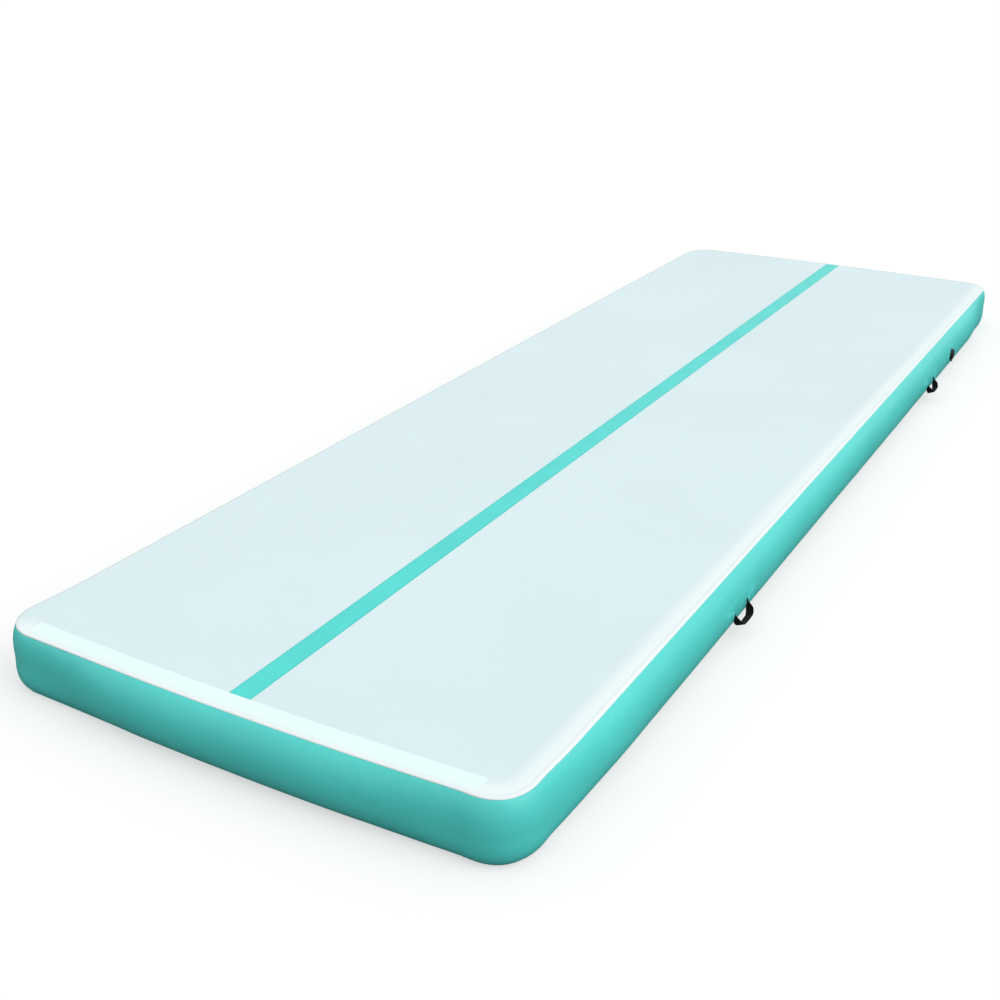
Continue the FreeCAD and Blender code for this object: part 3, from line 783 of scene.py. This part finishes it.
def seam_tape(name, stations, upper):
    """Tape over a seam: flat on the sheet, round the edge and a little way on the wall."""
    sign = 1 if upper else -1
    face_at = sheet_height if upper else sheet_depth
    points = []
    for station in stations:
        ripple = noise.noise(station.base * RIPPLES_PER_M) * TAPE_RIPPLE
        for inset, share in zip(TAPE_INSETS, TAPE_LIFTS):
            points.append(station.at(-inset, face_at(inset) + sign * TAPE * share))
        seam_z = face_at(0)
        points.append(station.at(TAPE_OVERHANG, seam_z + sign * TAPE * 0.75))
        for run in TAPE_TURNS:
            angle = sign * (WALL_ANGLE - run / WALL_RADIUS)
            points.append(wall_point(station, angle, TAPE * 0.9 + ripple))
        # Its feathered end, and then its underside, sunk a little into wall and sheet.
        end = sign * (WALL_ANGLE - (SEAM_TAPE_TURN + TAPE_FEATHER) / WALL_RADIUS)
        points.append(wall_point(station, end, TAPE_THIN))
        points.append(wall_point(station, end, -SINK))
        points.append(station.at(-TAPE_UNDER[0], seam_z - sign * TAPE_UNDER[1]))
        inner_z = face_at(SEAM_TAPE_WIDTH)
        points.append(station.at(-SEAM_TAPE_WIDTH, inner_z - sign * TAPE_UNDER[2]))
    columns = len(points) // len(stations)
    faces = loft_faces(len(stations), columns, wrap_rows=True, wrap_columns=True)
    if upper:
        faces = flipped(faces)
    obj = mesh_object(name, points, faces, sharp=50)
    # 1 where the tape keeps its white, 0 where it takes its painted shade
    lit_side_shares = [station.white() for station in stations for _ in range(columns)]
    point_values(obj, "white", lit_side_shares)
    return obj


top_tape = seam_tape("seam_tape_top", WALL_STATIONS, upper=True)
finish_piece(top_tape, white_tape, "white_tape", "top_seam_tape")
bottom_tape = seam_tape("seam_tape_bottom", LINER_STATIONS, upper=False)
finish_piece(bottom_tape, teal_tape, "teal_tape", "bottom_seam_tape")


# ------------ stripe and end band
MARKING = 0.0009  # thickness of the tapes on the top sheet
MARKING_SINK = 0.0006  # their underside is this far into it


def flat_tape(name, rows):
    """A thin tape on the top sheet from rows of (x, y) across it, with sloped edges."""
    points, uvs, run = [], [], 0.0
    previous = None
    columns, count = len(rows[0]), len(rows)
    for row in rows:
        middle = row[columns // 2]
        if previous:
            run += math.dist(middle, previous)
        previous = middle
        for k, (x, y) in enumerate(row):
            lift = 0.0 if k in (0, columns - 1) else MARKING
            points.append((x, y, sheet_height(inset_of(x, y), x, y) + lift))
            uvs.append((math.dist((x, y), middle) * (-1 if k < columns // 2 else 1), run))
    base = len(points)
    points += [(x, y, z - MARKING_SINK) for x, y, z in points]
    uvs += uvs
    faces = flipped(loft_faces(count, columns))
    faces += loft_faces(count, columns, start=base)
    rim = [i * columns for i in range(count)]
    rim += [(count - 1) * columns + j for j in range(1, columns)]
    rim += [i * columns + columns - 1 for i in range(count - 2, -1, -1)]
    rim += range(columns - 2, 0, -1)
    for a, b in zip(rim, rim[1:] + rim[:1]):
        faces.append((a, b, base + b, base + a))
    return closed_mesh(name, points, faces, sharp=40, uvs=uvs)


STRIPE_STEPS = 240
STRIPE_SHARES = (-1, -0.985, -0.93, -0.6, -0.3, 0, 0.3, 0.6, 0.93, 0.985, 1)


def stripe_rows():
    """Rows along the centre stripe, closer together across its edges."""
    middle = (stripe_low.x + stripe_high.x) / 2
    rows = []
    for i in range(STRIPE_STEPS + 1):
        y = stripe_low.y + (stripe_high.y - stripe_low.y) * i / STRIPE_STEPS
        rows.append([(middle + STRIPE_HALF * share, y) for share in STRIPE_SHARES])
    return rows


stripe = flat_tape("top_stripe", stripe_rows())
finish_piece(stripe, stripe_material, "stripe", "centre_stripe")

end_low, end_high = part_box("end_tape")
END_BAND_HALF = (end_high.x - end_low.x) / 2
END_BAND_INSET = SEAM_Y + end_high.y  # from the seam line's middle to its inner edge
END_BAND_ROUND = 0.016  # radius of its tips
END_BAND_GAP = 0.0004  # between it and the seam tape
END_BAND_STEPS = 150
END_BAND_SHARES = (0, 0.015, 0.06, 0.2, 0.4, 0.6, 0.8, 0.94, 0.985, 1)
END_BAND_SHORT = 0.028  # the band stops this much short of its place on the right


def seam_y(x, inset):
    """How far out the line this far inside the seam line runs, at this x."""
    if abs(x) <= CORNER_X:
        return math.sqrt((END_BOW_RADIUS - inset) ** 2 - x ** 2) - BOW_CENTRE
    return CORNER_Y + math.sqrt(max((CORNER_RADIUS - inset) ** 2 - (abs(x) - CORNER_X) ** 2, 0))


def end_band_rows():
    """Rows from the near end's seam tape inwards, with rounded tips."""
    half = END_BAND_HALF - END_BAND_SHORT / 2
    rows = []
    for i in range(END_BAND_STEPS + 1):
        off = half * math.sin(math.pi * (0.5 - i / END_BAND_STEPS))
        x = off - END_BAND_SHORT / 2
        outer = seam_y(x, SEAM_TAPE_WIDTH + END_BAND_GAP)
        inner = math.sqrt((END_BOW_RADIUS - END_BAND_INSET) ** 2 - x ** 2) - BOW_CENTRE
        tip = half - abs(off)
        if tip < END_BAND_ROUND:
            radius = END_BAND_ROUND
            cut = radius - math.sqrt(max(radius ** 2 - (radius - tip) ** 2, 0))
            outer, inner = outer - cut * 0.8, inner + cut
        rows.append([(x, -(outer + (inner - outer) * share)) for share in END_BAND_SHARES])
    return rows


end_band = flat_tape("end_band", end_band_rows())
finish_piece(end_band, end_material, "end_tape", "end_tape")


# ------------ patches on the wall
HANDLE_ANGLE = math.asin((HANDLES["right_near"].z - WALL_MID) / WALL_RADIUS)
VALVE_RUN = WALL_RADIUS * (math.asin((VALVE.z - WALL_MID) / WALL_RADIUS) - HANDLE_ANGLE)
EDGE_START = 0.10  # share of its thickness that a patch keeps at its very edge
CORNER_STEPS = 8


def side_point(side, y, run, out):
    """A point of a long side's wall: run is measured up the wall from the handles' height."""
    station = Station(side * SEAM_X, y, side, 0)
    return wall_point(station, HANDLE_ANGLE + run / WALL_RADIUS, out)


def rounded_outline(half_y, half_run, radius, per_corner, spacing):
    """An oblong with round corners: points round each corner and spaced along each side."""
    corners = []
    for cy, cr, start in ((1, 1, 0), (-1, 1, 90), (-1, -1, 180), (1, -1, 270)):
        corner = []
        for i in range(per_corner + 1):
            turn = math.radians(start + 90 * i / per_corner)
            y = cy * (half_y - radius) + radius * math.cos(turn)
            corner.append((y, cr * (half_run - radius) + radius * math.sin(turn)))
        corners.append(corner)
    found = []
    for k, corner in enumerate(corners):
        found += corner
        (y, run), (next_y, next_run) = corner[-1], corners[(k + 1) % 4][0]
        cells = round(math.hypot(next_y - y, next_run - run) / spacing)
        for i in range(1, cells):
            found.append((y + (next_y - y) * i / cells, run + (next_run - run) * i / cells))
    return found


def sunk(y, run):
    """The underside of a patch that lies on the wall."""
    return -SINK


def patch_mesh(side, centre, outline, shares, top, floor, start=0, hole=False):
    """Points and faces of a patch: rings of its outline, drawn in to a hole or its middle."""
    points, faces = [], []
    count = len(outline)
    for surface in (top, floor):
        for share in shares:
            for y, run in outline:
                y, run = y * share, run * share
                out = surface(y, run)
                points.append(side_point(side, centre[0] + y, centre[1] + run, out))
    rings = len(shares)
    upper = loft_faces(rings, count, wrap_columns=True, start=start)
    lower = loft_faces(rings, count, wrap_columns=True, start=start + rings * count)
    faces += upper + flipped(lower)
    for ring in (0, rings - 1) if hole else (rings - 1,):
        for j in range(count):
            k = (j + 1) % count
            a, b = start + ring * count + j, start + ring * count + k
            faces.append((a, b, b + rings * count, a + rings * count))
    if not hole:
        faces.append(tuple(start + j for j in range(count)))
        faces.append(tuple(start + rings * count + j for j in reversed(range(count))))
    return points, faces


def edge_round(y, run, half_y, half_run, radius, width):
    """Lowers a patch towards its edge, over the given width, so that the edge is soft."""
    across, up = abs(y) - (half_y - radius), abs(run) - (half_run - radius)
    inside = radius - (math.hypot(across, up) if across > 0 and up > 0 else max(across, up))
    return smooth(EDGE_START + inside / width)


COVER_HALF_Y = 0.039
BASE_SIZES = (0.150, 0.046, 0.022)  # half along the wall, half up it, corner radius
COVER_SIZES = (COVER_HALF_Y, 0.033, 0.012)
BASE_EDGE = 0.010  # the base patch is feathered out over this width
COVER_EDGE = 0.0045
VALVE_PATCH_EDGE = 0.0035
WEB_HALF = 0.015  # half the webbing's width
WEB_THICK = 0.0024
WEB_TAIL = 0.062
ROOT_HALF = 0.0019  # half the webbing's width where it is gathered
HANDLE_HALF_SPAN = 0.060
ROOT_CLEAR = 0.0034  # from the loop's leg to the gap between its root and the tail's
COVER_START = HANDLE_HALF_SPAN + ROOT_CLEAR + 0.002
TAIL_TAPER = (0.003, 0.022)  # the tail starts to open, and is open, this far from its root
COVER_DRAPE = 0.007  # the cover comes down to the base patch over this width
TAIL_CLEAR = 0.0002  # between the flat tail and the base patch
COVER_CLEAR = 0.0003  # between the cover and the tail
COVER_MARGIN = 0.0006  # the cover starts to come down this far beside the tail
GATHER_THICKER = 0.45  # the gathered webbing is thicker by this share
WEB_CROWN = 1.1  # the webbing's thickest place, beside its selvedge
RING_SHARES = (0.02, 0.12, 0.24, 0.36, 0.48, 0.60, 0.70, 0.79, 0.87, 0.93, 0.97, 0.99, 1.0)


def base_patch(name, side, hinge):
    """The patch under both ends of a handle's webbing."""
    outline = rounded_outline(*BASE_SIZES, CORNER_STEPS, spacing=0.006)

    def top(y, run):
        return PATCH * edge_round(y, run, *BASE_SIZES, BASE_EDGE)

    points, faces = patch_mesh(side, (hinge.y, 0), outline, RING_SHARES, top, sunk)
    return closed_mesh("handle_patch_" + name, points, faces, sharp=45)


def web_halves(spread):
    """The webbing's half width and half thickness, from gathered (0) to flat (1)."""
    half = ROOT_HALF + (WEB_HALF - ROOT_HALF) * spread
    return half, WEB_THICK / 2 * (1 + GATHER_THICKER * (1 - spread))


def tail_shape(away, stand):
    """The webbing's half width, half thickness and height off the wall, away from its root.

    The root stands off the wall by the given height."""
    begin, end = TAIL_TAPER
    half, thick = web_halves(smooth((away - begin) / (end - begin)))
    flat = PATCH + WEB_THICK / 2 + TAIL_CLEAR
    return half, thick, stand + (flat - stand) * smooth(away / end)


def cover_lift(along, run, stand):
    """How far the cover stands off the base patch where it drapes over the webbing's tail."""
    half, thick, height = tail_shape(along + COVER_START - HANDLE_HALF_SPAN - ROOT_CLEAR, stand)
    over_tail = 1 - smooth((abs(run) - half - COVER_MARGIN) / COVER_DRAPE)
    covered = 1 - smooth((along - WEB_TAIL) / COVER_DRAPE)
    return (height + thick * WEB_CROWN + COVER_CLEAR - PATCH) * over_tail * covered


def root_stand(side, hinge):
    """How far the webbing's root stands off the wall, to its middle."""
    return abs(hinge.x) - abs(side_point(side, hinge.y, 0, 0).x)


def cover_patches(name, side, hinge):
    """The two patches welded over the webbing's ends."""
    points, faces = [], []
    outline = rounded_outline(*COVER_SIZES, CORNER_STEPS, spacing=0.0026)
    stand = root_stand(side, hinge)
    for way in (1, -1):
        centre = (hinge.y + way * (COVER_START + COVER_HALF_Y), 0)

        def floor(y, run):
            return PATCH + cover_lift(way * y + COVER_HALF_Y, run, stand)

        def top(y, run):
            return floor(y, run) + PATCH * edge_round(y, run, *COVER_SIZES, COVER_EDGE)

        more = patch_mesh(side, centre, outline, RING_SHARES, top, floor, len(points))
        points += more[0]
        faces += more[1]
    return closed_mesh("handle_covers_" + name, points, faces, sharp=45)


VALVE_PATCH_RADIUS = 0.055
VALVE_HOLE = 0.019
VALVE_RINGS = 12


def valve_patch():
    """The round patch behind the valve, with the valve's hole."""
    half = VALVE_PATCH_RADIUS
    outline = rounded_outline(half, half, half * 0.999, 2 * CORNER_STEPS, spacing=0.01)
    inner = VALVE_HOLE / half
    shares = [inner + (1 - inner) * i / VALVE_RINGS for i in range(VALVE_RINGS)]
    shares += [0.975, 0.99, 1.0]

    def top(y, run):
        return PATCH * edge_round(y, run, half, half, half, VALVE_PATCH_EDGE)

    centre = (VALVE.y, VALVE_RUN)
    points, faces = patch_mesh(1, centre, outline, shares, top, sunk, hole=True)
    return closed_mesh("valve_patch", points, faces, sharp=45)


finish_piece(valve_patch(), patch_material, "patch", "valve_reinforcing_patch")


# ------------ handle webbing
LOOP_DEPTH = 0.050
LOOP_DROOP = math.radians(68)
LOOP_CORNER = 0.028
LOOP_TAPER = 0.034  # the webbing opens from its gathered root over this length
ROOT_GAP = 0.00015  # half the gap between the loop's root and the tail's
ROOT_STEPS = (0.0, 0.0011, 0.0021)  # sections of the loop's root, in from its end
LEG_BOW = 0.0015  # how far the loop's legs bow apart
GRIP_BOW = 0.0012  # and its grip bows out
LEG_STEPS, BEND_STEPS, GRIP_STEPS = 12, 12, 8
LOOP_PLEAT = 0.0024  # depth of the fold where the webbing opens
GRIP_FOLD = 0.0004  # and along the grip
FOLD_HALF, FOLD_SLOPE = 0.72, 1.4  # the fold's half width, in the webbing's, and its sides
TAIL_STEPS = 26
TAIL_CROWDING = 1.6  # its sections are closer together near its root
WEB_PROFILE = [  # half the webbing's section: shares of half width and thickness
    (-1.0, 0.0), (-0.985, 0.75), (-0.93, WEB_CROWN), (-0.80, 0.92), (-0.5, 0.95), (-0.2, 1.0),
    (0.2, 1.0), (0.5, 0.95), (0.80, 0.92), (0.93, WEB_CROWN), (0.985, 0.75), (1.0, 0.0),
]
WEB_RING = WEB_PROFILE + [(w, -t) for w, t in reversed(WEB_PROFILE[1:-1])]


def loop_path():
    """The loop's centreline from one root to the other, (out from the hinge, along)."""
    half, radius = HANDLE_HALF_SPAN, LOOP_CORNER
    straight, flat = LOOP_DEPTH - radius, half - radius
    path = []
    for i in range(LEG_STEPS + 1):
        u = straight * i / LEG_STEPS
        path.append((u, -half - LEG_BOW * math.sin(math.pi * u / straight)))
    for i in range(1, BEND_STEPS):
        turn = math.radians(90 * i / BEND_STEPS)
        path.append((straight + radius * math.sin(turn), -half + radius - radius * math.cos(turn)))
    for i in range(GRIP_STEPS + 1):
        y = -flat * (1 - i / GRIP_STEPS)
        path.append((LOOP_DEPTH + GRIP_BOW * math.cos(math.pi * y / (2 * flat)), y))
    return path + [(u, -y) for u, y in reversed(path[:-1])]


def web_section(centre, across, normal, half_width, half_thick, pleat):
    """A ring of points round the webbing: rounded selvedges and a soft lengthways fold."""
    ring = []
    for w, t in WEB_RING:
        fold = pleat * (1 - abs(w) * FOLD_SLOPE) if abs(w) < FOLD_HALF else 0.0
        ring.append(centre + across * (w * half_width) + normal * (t * half_thick + fold))
    return ring


def web_strip(sections, start):
    """Points, faces and UVs of a length of webbing through its sections, closed at its ends."""
    points, uvs, run, previous = [], [], 0.0, None
    for centre, wide, normal, half, thick, pleat in sections:
        if previous is not None:
            run += (centre - previous).length
        previous = centre
        for p in web_section(centre, wide, normal, half, thick, pleat):
            points.append(p)
            uvs.append(((p - centre).dot(wide) / half * WEB_HALF, run))
    columns = len(points) // len(sections)
    return points, tube_faces(len(sections), columns, start), uvs


def webbing_loop(name, side, hinge):
    """The loop that a hand holds, from one gathered root to the other."""
    out = Vector((side * math.cos(LOOP_DROOP), 0, -math.sin(LOOP_DROOP)))
    across = Vector((side * math.sin(LOOP_DROOP), 0, math.cos(LOOP_DROOP)))
    along = Vector((0, 1, 0))
    root_end = HANDLE_HALF_SPAN + ROOT_CLEAR - ROOT_GAP
    root_out = [(0.0, -root_end + step) for step in ROOT_STEPS]
    path = root_out + loop_path()[1:-1] + [(u, -y) for u, y in reversed(root_out)]
    sections = []
    for k, (u, y) in enumerate(path):
        before, after = path[max(k - 1, 0)], path[min(k + 1, len(path) - 1)]
        run = Vector((after[0] - before[0], after[1] - before[1]))
        run.normalize()
        way = out * run.x + along * run.y
        normal = way.cross(across).normalized()
        spread = smooth(u / LOOP_TAPER)
        half, thick = web_halves(spread)
        pleat = LOOP_PLEAT * math.sin(math.pi * spread) + GRIP_FOLD * spread
        sections.append((hinge + out * u + along * y, across, normal, half, thick, pleat))
    points, faces, uvs = web_strip(sections, 0)
    return closed_mesh("webbing_loop_" + name, points, faces, sharp=70, uvs=uvs)


def webbing_tails(name, side, hinge):
    """The webbing's two ends: gathered at the root, then flat under the cover patches."""
    along = Vector((0, 1, 0))
    length = WEB_TAIL - 0.002
    stand = root_stand(side, hinge)
    points, faces, uvs = [], [], []
    for way in (-1, 1):
        sections = []
        for i in range(TAIL_STEPS + 1):
            away = ROOT_GAP + length * (i / TAIL_STEPS) ** TAIL_CROWDING
            y = hinge.y + way * (HANDLE_HALF_SPAN + ROOT_CLEAR + away)
            half, thick, height = tail_shape(away, stand)
            on_wall = side_point(side, y, 0, height)
            root = Vector((hinge.x, y, hinge.z))
            centre = root.lerp(on_wall, smooth(away / TAIL_TAPER[1]))
            up = side_point(side, y, 0.01, 0) - side_point(side, y, -0.01, 0)
            up.normalize()
            normal = along.cross(up) * side
            sections.append((centre, up, normal, half, thick, 0.0))
        more = web_strip(sections, len(points))
        points += more[0]
        faces += more[1]
        uvs += more[2]
    return closed_mesh("webbing_tails_" + name, points, faces, sharp=70, uvs=uvs)


HANDLE_PIECES = (  # what builds each piece, its material and slot, and its CAD node
    (base_patch, patch_material, "patch", "handle_base_patch_"),
    (cover_patches, patch_material, "patch", "handle_cover_patches_"),
    (webbing_tails, webbing_material, "webbing", "handle_webbing_tails_"),
    (webbing_loop, webbing_material, "webbing", "handle_loop_"),
)
for name, hinge in HANDLES.items():
    side = 1 if hinge.x > 0 else -1
    for build, material, slot, node in HANDLE_PIECES:
        body = "loop_" + name if build is webbing_loop else "mat"
        finish_piece(build(name, side, hinge), material, slot, node + name, body=body)


# ------------ the valve's spring
SPRING_WIRE = 0.0004  # wire's radius
SPRING_TURNS = 6
SPRING_CLOSED = 0.00082  # rise of the closed turn at each end, a little over the wire
SPRING_STEPS, WIRE_STEPS = 28, 8  # sections in a turn, points round a section


def spring_rise(turns, height):
    """How far along its axis the wire is after so many turns: close, open, then close."""
    open_turns = SPRING_TURNS - 2
    first = SPRING_CLOSED * min(turns, 1)
    middle = (height - 2 * SPRING_CLOSED) * max(0, min(turns - 1, open_turns)) / open_turns
    return first + middle + SPRING_CLOSED * max(0, turns - 1 - open_turns)


def coil_spring():
    """Compression spring behind the button, built at its rest length."""
    low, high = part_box("valve_spring")
    middle = (low + high) / 2
    radius = (high.y - low.y) / 2 - SPRING_WIRE
    length = high.x - low.x
    steps = SPRING_TURNS * SPRING_STEPS
    points = []
    for i in range(steps + 1):
        turn = math.tau * i / SPRING_STEPS
        away = Vector((0, math.cos(turn), math.sin(turn)))
        rise = spring_rise(i / SPRING_STEPS, length - 2 * SPRING_WIRE)
        centre = Vector((low.x + SPRING_WIRE + rise, middle.y, middle.z)) + away * radius
        for j in range(WIRE_STEPS):
            around = math.tau * j / WIRE_STEPS
            off = away * math.cos(around) + Vector((math.sin(around), 0, 0))
            points.append(centre + off * SPRING_WIRE)
    faces = tube_faces(steps + 1, WIRE_STEPS)
    obj = closed_mesh("valve_coil_spring", points, faces, sharp=60)
    finish_piece(obj, spring_material, "spring_steel", "valve_spring")
    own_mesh(obj)


coil_spring()


# ------------ materials of the CAD's nodes
NODE_MATERIALS = (
    (yarn_material, ("drop_stitch_yarns",)),
    (valve_material, ("valve_body", "valve_nut", "valve_cap")),
    (rubber_material, ("valve_leash", "valve_cap_seal", "valve_outer_gasket",
                       "valve_inner_gasket", "valve_poppet_seal")),
    (stem_material, ("valve_stem",)),
    (spring_material, ("valve_spring_washer",)),
)
for material, nodes in NODE_MATERIALS:
    for node in nodes:
        slots = frame["nodes"][node].data.materials
        slots.clear()
        slots.append(material)


# ------------ floor, light and camera
FLOOR_HALF = 60.0
FLOOR_GLOW = 0.55  # the pale table glows as well as being lit from above
FLOOR_PALE, FLOOR_MOTTLE = 0.93, 1.02
FLOOR_DIM = (0.15, 0.17)  # shades of the dim one below
LIT_LEVEL, SEEN_LEVEL = 0.87, 1.0  # of the surroundings: on the mat, and to the camera
KEY_STRENGTH, KEY_AZIMUTH, KEY_ELEVATION, KEY_SPREAD = 1.3, 85, 38, 50
CAMERA_LENS, CAMERA_SENSOR = 47.6, 36  # mm
CAMERA_PLACE = (2.2898, -5.3471, 2.3439)
CAMERA_TILT, CAMERA_HEADING = 0.4258, 0.5214  # down from level, and from +Y towards -X
CAMERA_FAR = 200


def grey(level):
    return rgb(level, level, level)


def floor_sheet(name, z, material):
    quad = ((-1, -1), (1, -1), (1, 1), (-1, 1))
    corners = [(x * FLOOR_HALF, y * FLOOR_HALF, z) for x, y in quad]
    sheet = mesh_object(name, corners, [(0, 1, 2, 3)])
    sheet.data.materials.append(material)
    return sheet


def studio_floor():
    """A pale lit table for the eye, over a dim one that keeps the low light off the walls."""
    pale = Paint("pale_floor", 0.9, 0.0)
    level = FLOOR_PALE * (1 - FLOOR_GLOW)
    base = pale.mix(pale.noise(3, 3.0), grey(level), grey(level * FLOOR_MOTTLE))
    pale.shader.inputs["Emission Color"].default_value = grey(1)
    pale.shader.inputs["Emission Strength"].default_value = FLOOR_GLOW
    pale.done(base, None, pale.bump(pale.noise(40, 3.0), 0.0002))
    table = floor_sheet("studio_floor", 0, pale.material)
    table.visible_diffuse = False
    table.visible_glossy = False
    dim = Paint("dim_floor", 0.9, 0.0)
    dim.done(dim.mix(dim.noise(3), grey(FLOOR_DIM[0]), grey(FLOOR_DIM[1])))
    floor_sheet("studio_floor_dim", -MM, dim.material).visible_camera = False


def studio_key():
    """The one lamp: soft light from its azimuth, from +Y towards +X, and its elevation."""
    data = bpy.data.lights.new("key_light", "SUN")
    data.energy = KEY_STRENGTH
    data.angle = math.radians(KEY_SPREAD)
    light = placed("key_light", data)
    a, e = math.radians(KEY_AZIMUTH), math.radians(KEY_ELEVATION)
    towards = Vector((math.sin(a) * math.cos(e), math.cos(a) * math.cos(e), math.sin(e)))
    light.rotation_euler = towards.to_track_quat("Z", "Y").to_euler()


def studio_world():
    """Even light from all round; what the camera sees past the floor is plain white."""
    world = bpy.data.worlds.new("studio")
    bpy.context.scene.world = world
    world.use_nodes = True
    tree = world.node_tree
    background = tree.nodes["Background"]
    background.inputs["Color"].default_value = (1, 1, 1, 1)
    path = tree.nodes.new("ShaderNodeLightPath")
    level = tree.nodes.new("ShaderNodeMapRange")
    level.inputs["To Min"].default_value = LIT_LEVEL
    level.inputs["To Max"].default_value = SEEN_LEVEL
    tree.links.new(path.outputs["Is Camera Ray"], level.inputs["Value"])
    tree.links.new(level.outputs[0], background.inputs["Strength"])


def studio_camera():
    """The photograph's camera, from the fit of the mat's outline."""
    data = bpy.data.cameras.new("camera")
    data.lens = CAMERA_LENS
    data.sensor_width = CAMERA_SENSOR
    data.clip_end = CAMERA_FAR
    camera = placed("camera", data)
    camera.location = CAMERA_PLACE
    camera.rotation_euler = (math.pi / 2 - CAMERA_TILT, 0, CAMERA_HEADING)
    bpy.context.scene.camera = camera


studio_floor()
studio_world()
studio_key()
studio_camera()
bpy.context.scene.view_settings.view_transform = "Standard"
